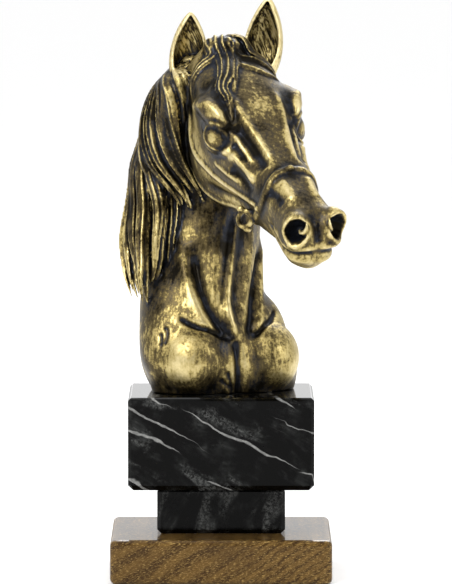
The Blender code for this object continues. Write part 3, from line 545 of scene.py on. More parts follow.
# %% [markdown]
# ## Hair
#
# The mane and forelock are modelled as locks: long tapered rolls with strand ridges pressed into them.
# A guide gives a lock's path in the neck's own coordinates, and the locks between two guides blend them.
# Each section is a flattened round whose radius rises in sharp crests, and the crests twist slowly along
# the lock. Seeded random sway keeps neighbours from running parallel.
#
# A mane guide's points are a height, an angle and a distance off the neck. A tier has guides, a number of
# clumps, their swing, and layers of strands. A layer has a number of strands, their thickness, how far out
# they lie, how much they close up and their ridges. A forelock row has a thickness, a lift, ridges and its
# path in shares of the head's length.

# %% Lock guides
MANE_BACK = (
    ((151, 176, 1), (136, 192, 2), (112, 206, 3), (86, 216, 5), (62, 222, 6), (44, 226, 2)),
    ((152, 196, 2), (136, 222, 3), (112, 234, 5), (86, 243, 13), (62, 248, 13), (43, 258, 5)),
    ((152, 214, 3), (137, 246, 5), (114, 258, 6), (88, 266, 13), (62, 270, 12), (43, 274, 5)),
    ((151, 232, 4), (134, 266, 6), (112, 281, 6), (86, 291, 9), (62, 294, 7), (47, 293, 3)),
)
MANE_FRONT = (
    ((149, 206, 4), (137, 244, 7), (121, 262, 9), (104, 276, 11), (87, 292, 7)),
    ((149, 222, 5), (136, 266, 8), (121, 286, 9), (104, 300, 9), (86, 310, 4)),
    ((148, 250, 5), (137, 294, 9), (120, 314, 9), (103, 324, 6), (86, 327, 1)),
)
MANE_SIDE = (
    ((147, 256, 4), (142, 284, 6), (135, 302, 6), (123, 317, 6), (107, 326, 3)),
    ((146, 276, 3), (142, 300, 3), (135, 313, 3), (125, 323, 3), (110, 331, 1)),
)
MANE_TIERS = (
    (MANE_BACK, 7, 5.5, ((2, 6.0, -7.0, 0.25, 9), (3, 3.4, -2.4, 0.75, 9), (5, 1.7, 0.3, 0.75, 3))),
    (MANE_FRONT, 5, 4.5, ((2, 4.6, -5.5, 0.4, 9), (3, 3.0, -2.2, 0.75, 9), (4, 1.5, 0.5, 0.75, 3))),
    (MANE_SIDE, 2, 2.0, ((3, 2.6, -1.5, 0.75, 7), (4, 1.4, 0.6, 0.75, 3))),
)
FORELOCKS = (
    (3.3, 0.9, 7, ((-0.14, -0.03, -0.02), (-0.06, -0.04, 0.03), (0.015, -0.066, 0.05),
                   (0.045, -0.110, 0.02), (0.07, -0.150, -0.035), (0.10, -0.178, -0.08))),
    (2.2, 0.9, 5, ((-0.13, -0.03, -0.02), (-0.05, -0.045, 0.03), (0.03, -0.075, 0.04), (0.07, -0.12, 0.0),
                   (0.09, -0.15, -0.04))),
    (4.6, 0.9, 8, ((-0.14, 0.0, -0.02), (-0.09, -0.005, 0.03), (-0.03, -0.018, 0.055),
                   (0.08, -0.036, 0.06), (0.157, -0.066, 0.055), (0.221, -0.106, 0.05),
                   (0.288, -0.105, 0.045), (0.37, -0.117, 0.02))),
    (2.8, 1.0, 7, ((-0.13, 0.02, -0.02), (-0.05, 0.01, 0.05), (0.05, -0.005, 0.06), (0.12, -0.025, 0.06),
                   (0.19, -0.045, 0.055), (0.25, -0.07, 0.05))),
    (3.0, 2.6, 3, ((-0.10, 0.02, 0.0), (-0.055, 0.046, 0.045), (0.0, 0.090, 0.05), (0.065, 0.134, 0.035),
                   (0.132, 0.172, 0.01))),
    (2.4, 1.0, 5, ((-0.05, 0.015, 0.05), (0.037, 0.026, 0.06), (0.066, 0.083, 0.05), (0.111, 0.126, 0.045),
                   (0.152, 0.159, 0.02))),
    (2.2, 0.8, 5, ((0.0, -0.01, 0.055), (0.085, 0.003, 0.06), (0.133, 0.057, 0.055), (0.172, 0.101, 0.05),
                   (0.183, 0.146, 0.03))),
)
STEPS = 70
SHARE = np.linspace(0, 1, STEPS)


def lock(points, outward, radii, ridges, phase, twist, flat=0.72, around=54):
    """A lock: at each step a flattened round of radius * (0.64 + 0.56 * crest), where the crest is
    one minus the sine's size, raised to a power, so that it is sharp and the valley is round."""
    tangent = unit_rows(np.gradient(points, axis=0))
    out = unit_rows(outward - tangent * np.sum(outward * tangent, axis=1, keepdims=True))
    aside = np.cross(tangent, out)
    turn = np.linspace(0, 2 * math.pi, around, endpoint=False)[None, :]
    crest = (1 - np.abs(np.sin(ridges / 2 * turn + phase + twist * SHARE[:, None]))) ** 1.25
    radius = radii[:, None] * UNIT * (0.64 + 0.56 * crest)
    ring = points[:, None] + (radius * np.cos(turn))[..., None] * aside[:, None]
    return skin(ring + (flat * radius * np.sin(turn))[..., None] * out[:, None])


def lock_radius(thickness):
    """Radius along a lock: it swells from its root over the first fifth and runs out to a thin tip."""
    return thickness * (0.55 + 0.45 * np.clip(SHARE / 0.2, 0, 1)) * (1.02 - SHARE**2.5) ** 0.7


def laid_on(tree, points, lift):
    """Points moved to the nearest place on the skin and lifted off it, with the skin's normals there."""
    hits = [tree.find_nearest(Vector(p)) for p in points]
    normals = np.array([hit[1] for hit in hits])
    return np.array([hit[0] for hit in hits]) + lift[:, None] * UNIT * normals, normals


def mane_strand(path, wave, reach, shape, draw):
    """One strand: it waves with its clump, sways a little on its own and sinks at its tip."""
    thickness, out, ridges = shape
    start, swell = draw.uniform(0, 6), draw.uniform(-2, 2)
    sway = wave + swell * np.sin(9 * SHARE + start) * (1 - SHARE)
    lift = out + draw.uniform(-0.6, 0.9) * np.sin(math.pi * SHARE) - 1.5 * SHARE**3
    height, degrees = path[:, 0] + reach, path[:, 1] + sway
    points = neck_point(height, degrees, path[:, 2] + lift)
    outward = neck_point(height, degrees, path[:, 2] + 9) - points
    radii = lock_radius(thickness * draw.uniform(0.85, 1.1))
    phase, twist = draw.uniform(0, 3), draw.uniform(-2, 2)
    return lock(points, outward, radii, ridges, phase, twist, 0.72 if ridges > 3 else 1.1)


def mane(draw, loose_draw):
    """Locks between the guides, from behind the ears down the horse's right side.

    Each tier is parted into clumps, of a solid mass below, thick locks on it and thin strands on top. A
    clump shares one wave, which is a sine of the share with a seeded length and start, and closes up
    towards the tip: path = own + close * (middle - own)."""
    skins = []
    for guides, clumps, swing, layers in MANE_TIERS:
        knots = np.linspace(0, 1, len(guides))
        table = np.asarray(guides, float).reshape(len(guides), -1)
        for clump in range(clumps):
            wave = 2 * math.pi * (draw.uniform(1.0, 1.6) * SHARE + draw.uniform(0, 1))
            wave = draw.uniform(0.7, 1) * swing * np.sin(wave) * (1 - 0.4 * SHARE)
            reach = draw.uniform(-4, 4) * SHARE
            for strands, thickness, out, close, ridges in layers:
                for place in (np.arange(strands) + 0.5) / strands:
                    pair = through(knots, table, [(clump + place) / clumps, (clump + 0.5) / clumps])
                    own, middle = (smooth_line(row.reshape(-1, 3), STEPS) for row in pair)
                    path = own + (close * SHARE**1.6)[:, None] * (middle - own)
                    skins.append(mane_strand(path, wave, reach, (thickness, out, ridges), loose_draw))
    return skins


def forelock(draw, tree):
    """Each guide gives a thick lock laid on the forehead, with a thinner strand on each side of it."""
    skins = []
    for thickness, lift, ridges, guide in FORELOCKS:
        for aside, share in ((0, 1), (0.026, 0.45), (-0.026, 0.42)):
            path = smooth_line(guide, STEPS)
            path[:, 1] += aside * (1 - SHARE) ** 0.6 + 0.003 * np.sin(8 * SHARE + draw.uniform(0, 6))
            rise = (lift + 0.5 * (aside != 0)) * np.minimum(1.2 - SHARE, 4 * SHARE) - 2.6 * (1 - SHARE) ** 3
            points, normals = laid_on(tree, head_point(path), rise)
            radii = lock_radius(thickness * share)
            own_ridges = ridges if aside == 0 else 3
            skins.append(lock(points, normals, radii, own_ridges, draw.uniform(0, 3), 1.2, 0.62))
    return skins


# %% [markdown]
# ## Ears, eyes and the halter's ring
#
# An ear is a leaf rolled into a cup: arcs that stay open to the front, widen from the root and close
# again at the tip, with a wall. The eye is a ball inside an oval of lids, with a bag below and a fold
# above. The ring is a small hoop where the halter's straps are tied together at the jaw.

# %% Ears, eyes and ring
EARS = (
    ((-14.5, -9, 137), (-13.8, -7, 172.5), (0.15, -1.0, 0.1)),
    ((16.5, -3, 142), (21.6, -2, 179), (-0.25, -1.0, 0.1)),
)
EAR_WIDTH = 18.3
EAR_WALL = 1.3
EAR_DEPTH_SHARE = 0.8
EAR_OPENING = 62
EAR_BEND = 2.2


def ear(root, tip, facing):
    """Arcs from an opening's edge round the back to its other edge, and back along the inner wall.

    The half width grows as a sine of the way down from the tip, raised to a power, and narrows a
    little at the root. The opening's half angle is a half sine, and the middle leans back as one."""
    share = np.linspace(0, 1, 60)[:, None]
    width = EAR_WIDTH / 2 * (np.sin(math.pi / 2 * np.clip((1.003 - share) / 0.66, 0, 1)) ** 0.68
                             * (1 - 0.25 * np.clip(1 - share / 0.34, 0, 1) ** 2))
    open_half = np.radians(EAR_OPENING * np.sin(math.pi * np.clip(share * 1.05, 0, 1)) ** 0.5 + 4)
    angle = open_half + np.linspace(0, 1, 40)[None, :] * (2 * math.pi - 2 * open_half)
    wall = np.minimum(EAR_WALL, 0.62 * width)
    hollow = (width - wall) * np.clip((share - 0.06) * 7, 0.05, 1)
    radius = np.concatenate([width + 0 * angle, hollow + 0 * angle], 1)
    angle = np.concatenate([angle, angle[:, ::-1]], 1)
    stem = np.array(tip, float) - np.array(root, float)
    axis = unit_rows(stem)
    front = np.array(facing, float)
    front = unit_rows(front - axis * (front @ axis))
    ring = np.array(root, float) + share[..., None] * stem
    ring = ring - EAR_BEND * np.sin(math.pi * share)[..., None] * front
    ring = ring + (radius * np.cos(angle) * EAR_DEPTH_SHARE)[..., None] * front
    ring = ring + (radius * np.sin(angle))[..., None] * np.cross(axis, front)
    return skin(bust_point(ring))


def hoop(line, radius, around=14):
    """A round tube along a closed line, square to it at every point; its radius may vary."""
    radius = np.broadcast_to(radius, len(line))[:, None, None]
    tangent = unit_rows(np.roll(line, -1, 0) - np.roll(line, 1, 0))
    out = unit_rows(line - line.mean(0))
    out = unit_rows(out - tangent * np.sum(out * tangent, axis=1, keepdims=True))
    turn = np.linspace(0, 2 * math.pi, around, endpoint=False)[None, :, None]
    side = np.cross(tangent, out)
    ring = np.cos(turn) * out[:, None] + np.sin(turn) * side[:, None]
    return looped_skin(line[:, None] + radius * ring)


def lock_on(line, outward, radius):
    """A plain roll along a line, round in section and thin at both ends."""
    steps = smooth_line(line, STEPS)
    radii = radius * np.sin(math.pi * np.clip(SHARE, 0.03, 0.97)) ** 0.5
    return lock(steps, np.tile(outward, (STEPS, 1)), radii / 0.9, 0, 0.6, 0.0, 1.0, around=20)


EYE_SINK = 7.0
EYE_RADIUS = 8.8
LID_REACH = 8.7
LID_HALF_WIDTH = 1.22
LID_ABOVE = 0.74
LID_BELOW = 0.64
LID_TILT = -0.14
LID_THICKNESS = 0.6
UPPER_LID_EXTRA = 0.95
EYE_BAG = (8.0, 1.1, -0.30, -0.80, 0.0, 1.0)
EYE_FOLD = (9.3, 1.5, 0.18, 1.05, -0.1, 1.3)


def eyes():
    """A ball, an oval of lids, a bag and a fold for each eye, on spheres round the ball's middle.

    A place on a sphere is the middle plus its reach times the unit vector of (one, along, up). Along is
    a width times the cosine of an angle, and up is a start plus a height times its sine and a tilt
    times its cosine. The lids go round the whole circle, and the bag and the fold over half of it."""
    skins = []
    turn = np.linspace(0, 2 * math.pi, 48, endpoint=False)
    half = np.linspace(0.12, math.pi - 0.12, 24)
    up = np.where(np.sin(turn) > 0, LID_ABOVE, LID_BELOW) * np.sin(turn) + LID_TILT * np.cos(turn)
    lids = unit_rows(np.stack([np.ones(48), LID_HALF_WIDTH * np.cos(turn), up], -1))
    thickness = LID_THICKNESS + UPPER_LID_EXTRA * np.clip(np.sin(turn), 0, 1)
    for side in (-1, 1):
        axes = facing_axes(EYE_FACES, side)
        centre = head_point(on_side(EYE, side)) - EYE_SINK * UNIT * axes[0]
        skins.append(ball(centre, np.full(3, EYE_RADIUS * UNIT), axes))
        skins.append(hoop(centre + LID_REACH * UNIT * lids @ axes, thickness * UNIT))
        for reach, width, start, height, tilt, radius in (EYE_BAG, EYE_FOLD):
            up = start + height * np.sin(half) + tilt * np.cos(half)
            fold = unit_rows(np.stack([np.ones(24), width * np.cos(half), up], -1))
            skins.append(lock_on(centre + reach * UNIT * fold @ axes, axes[0], radius))
    return skins


NOSTRIL_CURL = ((0.4, 3.4, 5.2), (0.4, 4.0, 2.4), (0.0, 3.2, 0.0), (-0.6, 1.6, -0.6), (-1.2, 0.8, 1.0))
CURL_RADIUS = 1.1


def nostril_folds():
    """The wing inside each nostril: a roll that comes off the upper rim and curls down into the hole."""
    skins = []
    for side in (-1, 1):
        axes = facing_axes(NOSTRIL_FACES, side)
        line = head_point(on_side(NOSTRIL, side)) + np.array(NOSTRIL_CURL) * UNIT @ axes
        skins.append(lock_on(line, axes[0], CURL_RADIUS))
    return skins


RING = (0.613, 0.116, -0.247)
RING_FACES = (0.55, 0.70, 0.46)
RING_HALF = (3.1, 3.7)
RING_TUBE = 1.2
KNOTS = ((0.0, -3.6, 3.2), (0.0, 3.4, 3.4), (-0.4, 2.6, -3.6))
KNOT_HALF = (1.8, 2.0, 1.7)


def halter_rings():
    """A hoop on each side of the jaw, with a knot where each strap is tied to it."""
    turn = np.linspace(0, 2 * math.pi, 32, endpoint=False)
    oval = np.stack([0 * turn, RING_HALF[0] * np.cos(turn), RING_HALF[1] * np.sin(turn)], -1)
    skins = []
    for side in (-1, 1):
        axes = facing_axes(RING_FACES, side)
        centre = head_point(on_side(RING, side))
        skins.append(hoop(centre + oval * UNIT @ axes, RING_TUBE * UNIT))
        for knot in KNOTS:
            place = centre + np.array(knot) * UNIT @ axes
            skins.append(ball(place, np.array(KNOT_HALF) * UNIT, axes, 12, 18))
    return skins


draw, loose_draw = np.random.default_rng(7), np.random.default_rng(8)
tree = BVHTree.FromObject(casting, bpy.context.evaluated_depsgraph_get())
hair = [*mane(draw, loose_draw), *forelock(loose_draw, tree)]
ears = [ear(*shape) for shape in EARS]
loose = mesh_piece("loose_forms", [*hair, *eyes(), *nostril_folds(), *halter_rings(), *ears])
print("locks, ears, eyes and rings:", len(loose.data.polygons), "faces")

# %% [markdown]
# ## One casting
#
# The loose forms and the rough form are joined and fused again, with a finer voxel this time. Crumbs and
# sealed voids are thrown away by keeping the largest connected skin. The foot is cut flat where it meets
# the marble.

# %% Fuse the casting and cut its foot
FINE_VOXEL = 0.55 * UNIT
TRIANGLES = 196000


def join_pieces(target, other):
    """Add another piece's mesh to the target's, and remove that piece."""
    work = bmesh.new()
    work.from_mesh(target.data)
    work.from_mesh(other.data)
    work.to_mesh(target.data)
    work.free()
    bpy.data.objects.remove(other)


def keep_largest_skin(mesh):
    """Spread the smallest point number over each connected skin, then delete all skins but one."""
    ends = read_rows(mesh.edges, "vertices", 2)
    label = np.arange(len(mesh.vertices))
    before = None
    while before is None or not np.array_equal(before, label):
        before = label.copy()
        np.minimum.at(label, ends[:, 0], label[ends[:, 1]])
        np.minimum.at(label, ends[:, 1], label[ends[:, 0]])
        label = label[label]
    crumbs = np.flatnonzero(label != np.bincount(label).argmax())
    work = bmesh.new()
    work.from_mesh(mesh)
    work.verts.ensure_lookup_table()
    bmesh.ops.delete(work, geom=[work.verts[k] for k in crumbs], context="VERTS")
    work.to_mesh(mesh)
    work.free()


def cut_flat(mesh, height):
    """Cut everything under a height away and close the cut with one flat face."""
    work = bmesh.new()
    work.from_mesh(mesh)
    cut = bmesh.ops.bisect_plane(work, geom=[*work.verts, *work.edges, *work.faces], dist=1e-7,
                                 plane_co=(0, 0, height), plane_no=(0, 0, -1), clear_outer=True)
    rim = [item for item in cut["geom_cut"] if isinstance(item, bmesh.types.BMEdge)]
    foot = bmesh.ops.edgeloop_fill(work, edges=rim)["faces"]
    bmesh.ops.triangulate(work, faces=foot)
    bmesh.ops.recalc_face_normals(work, faces=work.faces)
    work.to_mesh(mesh)
    work.free()


join_pieces(casting, loose)
fuse(casting, FINE_VOXEL)
keep_largest_skin(casting.data)
rub(casting.data, 1)
print("fused:", len(casting.data.vertices), "points")

# %% [markdown]
# ## Where the gold catches
#
# The finish is black paint with gold rubbed over it, so gold lies on whatever stands proud. To find that,
# the skin is rubbed down by different amounts, and each point's height over the smooth copy is measured
# along its normal. Few rounds find fine crests and many rounds find broad swells. A few lines on the head
# and the neck take more gold or less, as the photo shows; among the neck's, two are painted highlights on
# the lobes of the chest and one is painted shade low on the horse's right side. All these measures are kept
# in the mesh as attributes, which the material reads.

# %% Measure what stands proud
def proud(mesh, stages):
    """Height over smoother and smoother copies: (point - copy) along a smoothed normal, over a scale.

    The first height's size, spread over the neighbourhood, tells how finely a place is carved."""
    ends = read_rows(mesh.edges, "vertices", 2)
    points = read_rows(mesh.vertices, "co", 3).astype(float)
    fine_normals = read_rows(mesh.vertex_normals, "vector", 3).astype(float)
    normals = unit_rows(smoothed(fine_normals, ends, 8))
    rest = points
    for name, rounds, scale in stages:
        rest = smoothed(rest, ends, rounds)
        height = np.sum((points - rest) * normals, axis=1) / (scale * UNIT)
        keep_attribute(mesh, name, height)
        if name == stages[0][0]:
            keep_attribute(mesh, "carved", smoothed(np.abs(height)[:, None], ends, 30)[:, 0])


STAGES = (("fine", 6, 0.12), ("broad", 54, 0.8), ("swell", 220, 2.2))
RUBBED = (
    (9.0, 0.34, ((0.17, 0, 0.05), (0.30, 0, 0.04))),
    (4.0, 0.65, ((0.36, 0.055, 0.03), (0.50, 0.052, 0.02), (0.60, 0.045, 0.0))),
    (2.4, 0.75, ((0.15, 0.18, -0.08), (0.212, 0.175, -0.025), (0.298, 0.16, 0.018), (0.367, 0.15, 0.034))),
    (2.2, 0.85, ((0.66, 0.105, -0.15), (0.52, 0.12, -0.19), (0.34, 0.14, -0.24), (0.20, 0.155, -0.25),
                 (0.10, 0.145, -0.18))),
    (2.4, 0.60, ((0.12, 0.11, -0.36), (0.26, 0.12, -0.38), (0.38, 0.10, -0.35), (0.52, 0.085, -0.29))),
    (3.0, 0.85, ((0.365, 0.185, -0.055), (0.37, 0.185, -0.055))),
    (3.5, 0.50, ((0.74, 0.05, 0.0), (0.84, 0.05, 0.0))),
    (7.5, 1.05, ((0.14, 0.17, -0.12), (0.22, 0.16, -0.22), (0.36, 0.15, -0.26), (0.48, 0.12, -0.27))),
    (3.0, 0.90, ((0.43, 0.14, -0.075), (0.50, 0.125, -0.07), (0.60, 0.105, -0.078))),
    (1.6, 0.90, ((0.42, 0.12, -0.02), (0.50, 0.10, -0.035), (0.56, 0.095, -0.05))),
    (2.0, 0.60, ((0.38, 0.155, -0.165), (0.46, 0.148, -0.15), (0.54, 0.13, -0.135))),
)
# Neck lines: a positive amount adds gold, and a negative one takes it away so that the place is darker.
NECK_GOLD_AND_PAINTED_LIGHT = (
    (4.0, 0.15, ((78, -30, 0), (62, -22, 0), (45, -12, 0), (30, -3, 0))),
    (4.0, 0.20, ((80, -62, 0), (64, -58, 0))),
    (9.0, -0.40, ((60, -52, 0), (44, -60, 0))),
    (7.0, -1.00, ((76, -6, 0), (69, -3, 0))),
    (5.0, -1.10, ((30, -7, 1), (22, -6, 1))),
    (5.0, -0.50, ((14, 12, 2), (5, 10, 1))),
    (4.0, -0.45, ((16, -20, 2), (6, -20, 1))),
    # Painted shade: darker low on the horse's right side of the chest.
    (9.0, -0.35, ((36, -88, 0), (24, -88, 2), (12, -88, 2))),
    # Painted highlights: more gold on the two lobes of the chest.
    (6.0, 0.32, ((22, -42, 3), (10, -40, 3))),
    (6.0, 0.62, ((19, 40, 3), (9, 40, 3))),
    (8.0, -0.30, ((62, -78, 8), (46, -76, 5))),
)


def gold_lines_and_painted_light(points):
    """More gold or less along given lines, among them painted highlights on the chest's lobes and painted
    shade low on its right side: the sum of amount * bell curve of distance / half width over the head's
    lines, on both sides, and the neck's."""
    lines = [(half_width, amount, head_point(on_side(line, side)))
             for half_width, amount, line in RUBBED for side in (-1, 1)]
    lines += [(half_width, amount, neck_point(*np.array(line, float).T))
              for half_width, amount, line in NECK_GOLD_AND_PAINTED_LIGHT]
    gold_and_light_from_lines = np.zeros(len(points))
    for half_width, amount, line in lines:
        gap, _ = distance_to(points, smooth_line(line, 6))
        gold_and_light_from_lines += amount * np.exp(-(gap / (half_width * UNIT)) ** 2)
    return gold_and_light_from_lines


EAR_NEAR = 11
EAR_BLEND = 3


def ear_share(points, normals):
    """One inside an ear's cup: close to the ear's middle line, on a skin that looks ahead."""
    gap = np.min([distance_to(points, bust_point(shape[:2]))[0] for shape in EARS], axis=0)
    ahead = np.clip(0.5 - 2 * normals[:, 1], 0, 1)
    return ahead * np.clip((EAR_NEAR * UNIT - gap) / (EAR_BLEND * UNIT), 0, 1)


def keep_attribute(mesh, name, values):
    """Store one number for each point."""
    attribute = mesh.attributes.new(name, "FLOAT", "POINT")
    attribute.data.foreach_set("value", values.astype(np.float32))


proud(casting.data, STAGES)
skin_points = read_rows(casting.data.vertices, "co", 3).astype(float)
skin_normals = read_rows(casting.data.vertex_normals, "vector", 3)
# Gold along given lines, with painted highlights and painted shade among the neck's.
keep_attribute(casting.data, "gold_lines_and_painted_light", gold_lines_and_painted_light(skin_points))
keep_attribute(casting.data, "ear", ear_share(skin_points, skin_normals))
thin = casting.modifiers.new("thin", "DECIMATE")
thin.ratio = TRIANGLES / (2 * len(casting.data.polygons))
apply_modifiers(casting)
cut_flat(casting.data, FOOT)
casting.data.shade_smooth()
casting.data.calc_loop_triangles()
print("casting:", len(casting.data.loop_triangles), "triangles")
print("attributes:", sorted(casting.data.attributes.keys()))
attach(casting, "root")
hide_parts("horse_bust")

# %% [markdown]
# ## Mixing materials
#
# Each finish is worked out from textures that read the object's own coordinates, so it is fixed to the
# piece like the real grain or paint. A small class wraps a node's output, and arithmetic on it adds the
# Math nodes, so a formula reads like a formula.

# %% A small language for materials
class Value:
    """A number that varies over a surface. Arithmetic on it adds Math nodes to its material."""

    def __init__(self, paint, socket):
        self.paint = paint
        self.socket = socket

    def math(self, operation, *others, swapped=False):
        """The result of a Math node on this value and others."""
        values = [self, *others]
        if swapped:
            values.reverse()
        return self.paint.node("ShaderNodeMath", {"operation": operation}, dict(enumerate(values)))

    def __add__(self, other):
        return self.math("ADD", other)

    def __radd__(self, other):
        return self.math("ADD", other)

    def __sub__(self, other):
        return self.math("SUBTRACT", other)

    def __rsub__(self, other):
        return self.math("SUBTRACT", other, swapped=True)

    def __mul__(self, other):
        return self.math("MULTIPLY", other)

    def __rmul__(self, other):
        return self.math("MULTIPLY", other)

    def __truediv__(self, other):
        return self.math("DIVIDE", other)

    def step(self, low, high):
        """A smooth step: nought below low, one above high."""
        return self.paint.node("ShaderNodeMapRange", {"interpolation_type": "SMOOTHSTEP"},
                               {"Value": self, "From Min": low, "From Max": high})


class Nodes:
    """Makes nodes in one node tree, and the formulas that most finishes share."""

    def __init__(self, tree):
        self.tree = tree

    def node(self, kind, settings=None, inputs=None, output=0):
        """Add a node: its settings first, then its sockets' values or links. Returns one output."""
        item = self.tree.nodes.new(kind)
        for name, value in (settings or {}).items():
            setattr(item, name, value)
        for name, value in (inputs or {}).items():
            self.feed(item.inputs[name], value)
        return Value(self, item.outputs[output])

    def feed(self, socket, value):
        """Link a value to a socket, or set it."""
        if isinstance(value, Value):
            self.tree.links.new(value.socket, socket)
        else:
            socket.default_value = value

    def place(self, location=(0, 0, 0), turn=(0, 0, 0)):
        """Object coordinates, turned and moved by a Mapping node."""
        where = self.node("ShaderNodeTexCoord", output="Object")
        return self.node("ShaderNodeMapping", None,
                         {"Vector": where, "Location": location, "Rotation": turn})

    def stretch(self, vector, scale):
        """A vector with its numbers multiplied, to draw a pattern out along its own axes."""
        return self.node("ShaderNodeVectorMath", {"operation": "MULTIPLY"}, {0: vector, 1: scale})

    def part(self, vector, axis):
        """One of a vector's three numbers."""
        return self.node("ShaderNodeSeparateXYZ", None, {0: vector}, axis)

    def noise(self, where, scale, detail, roughness, distortion=0.0):
        """Cloudy noise around a half."""
        return self.node("ShaderNodeTexNoise", None, {"Vector": where, "Scale": scale, "Detail": detail,
                                                      "Roughness": roughness, "Distortion": distortion})

    def attribute(self, name):
        """The mesh's own attribute of this name."""
        return self.node("ShaderNodeAttribute", {"attribute_name": name}, output="Fac")

    def mix(self, share, first, second):
        """A blend of two colours."""
        first, second = ((*c, 1) if isinstance(c, tuple) else c for c in (first, second))
        return self.node("ShaderNodeMix", {"data_type": "RGBA"}, {0: share, 6: first, 7: second}, 2)

    def bump(self, height, distance, strength):
        """A normal bent by a height that is given in metres times the distance."""
        return self.node("ShaderNodeBump", None,
                         {"Height": height, "Distance": distance, "Strength": strength})


class Paint(Nodes):
    """A material in the making, with its shader."""

    def __init__(self, name):
        self.material = bpy.data.materials.new(name)
        self.material.use_nodes = True
        super().__init__(self.material.node_tree)
        self.shader = self.tree.nodes["Principled BSDF"]

    def finish(self, **inputs):
        """Feed the shader's sockets, named with underscores for spaces, and return the material."""
        sockets = {socket.name.lower().replace(" ", "_"): socket for socket in self.shader.inputs}
        for name, value in inputs.items():
            self.feed(sockets[name], (*value, 1) if isinstance(value, tuple) else value)
        return self.material


# %% [markdown]
# ## Antique gold
#
# The casting is painted black, with cloudy patches of blue-grey black that are a painted sheen, and then
# gold is brushed on almost dry. Crests take it fully, open muscle takes it in speckles and short upright
# streaks, and hollows stay black. The palest gold, on the highest places, is partly a painted highlight.

# %% Antique gold
BLACK_PAINT = (0.006, 0.0045, 0.002)
# A painted sheen: blue-grey black in place of reflections on the glossy black paint.
PAINTED_BLUE_SHEEN = (0.016, 0.018, 0.024)
GOLD_DUST = (0.085, 0.063, 0.026)
DEEP_GOLD = (0.37, 0.285, 0.098)
# Partly a painted highlight: the palest gold, on the highest places.
PALE_GOLD_AND_PAINTED_HIGHLIGHT = (0.70, 0.59, 0.315)


def antique_gold():
    """Level = fine crest + broad swell + the given lines of gold, painted highlight and painted shade +
    speckle + streak + patch + more on the chest and in strokes inside the ears - finely carved places - the
    foot. A smooth step of it is the gold's share, and a lower step gives the dusty dark gold round it. The
    tint gets paler with the level, partly as a painted highlight on the crests, and patches of the black
    turn blue-grey as a painted sheen."""
    paint = Paint("antique_gold")
    where = paint.place()
    speckle = paint.noise(where, 850.0, 6.0, 0.7)
    streak = paint.noise(paint.stretch(where, (1, 1, 0.22)), 620.0, 4.0, 0.6)
    strokes = paint.noise(paint.stretch(paint.place(turn=(0, 0.35, 0)), (1, 1, 0.10)), 1100.0, 2.0, 0.5)
    patch = paint.noise(where, 75.0, 6.0, 0.66)
    height = paint.part(where, "Z")
    chest = 1 - height.step(FOOT + 0.03, FOOT + 0.12)
    foot = 1 - height.step(FOOT, FOOT + 0.009)
    fine, broad, swell, carved, gold_and_light_from_lines, ear = (paint.attribute(name) for name in
                                              ("fine", "broad", "swell", "carved", "gold_lines_and_painted_light", "ear"))
    # The lines' term adds painted highlights and painted shade as well as gold.
    level = (fine * 0.72 + broad.math("MINIMUM", 1.0) * 0.32 + swell.math("MINIMUM", 0.8) * 0.45 + gold_and_light_from_lines
             + (speckle - 0.5) * 1.4 + (streak - 0.5) * 1.6 + (patch - 0.5) * 2.8 + chest * 0.56 - 0.23
             - carved * 0.70 - foot * 0.55 + ear * ((strokes - 0.30) * 5.0 + 0.4))
    gold = level.step(0.16, 0.74)
    dust = level.step(-0.60, 0.30)
    # Cloudy patches of the black paint turn blue-grey: a painted sheen.
    base = paint.mix(patch.step(0.42, 0.56), BLACK_PAINT, PAINTED_BLUE_SHEEN)
    # Paler gold with a higher level, partly a painted highlight on the crests.
    gold_tint_and_painted_highlight = paint.mix(level.step(0.3, 1.8), DEEP_GOLD, PALE_GOLD_AND_PAINTED_HIGHLIGHT)
    colour = paint.mix(gold, paint.mix(dust, base, GOLD_DUST), gold_tint_and_painted_highlight)
    relief = paint.bump(speckle * 0.7 + gold * 0.4, 0.00016, 0.8)
    return paint.finish(base_color=colour, metallic=0.7 + gold * 0.15, specular_ior_level=0.15,
                        roughness=0.30 + dust * 0.08, normal=relief)


casting.data.materials.append(antique_gold())

# %% [markdown]
# ## Black marble
#
# The blocks are sawn from black stone with white calcite veins and polished. The veins run down to the
# right, thin and broken, with cloudy patches beside them. A wave warped by noise gives lines that wander;
# only its narrow peaks are kept, and a second noise breaks them up.

# %% Black marble
BLACK_STONE = (0.0014, 0.0014, 0.0013)
MIST_GREY = (0.030, 0.031, 0.030)
HAZE_GREY = (0.095, 0.097, 0.093)
CALCITE = (0.26, 0.26, 0.25)
STRIPES = ((12.0, 14.0, 0.0), (19.0, 24.0, 6.0))
TOP_FADE = (0.0008, 0.0002)


def glossy_top(paint, top):
    """One on the piece's top face and nought below it, for a lacquer or polish seen at a low angle."""
    return paint.part(paint.place(), "Z").step(top - TOP_FADE[0], top - TOP_FADE[1])


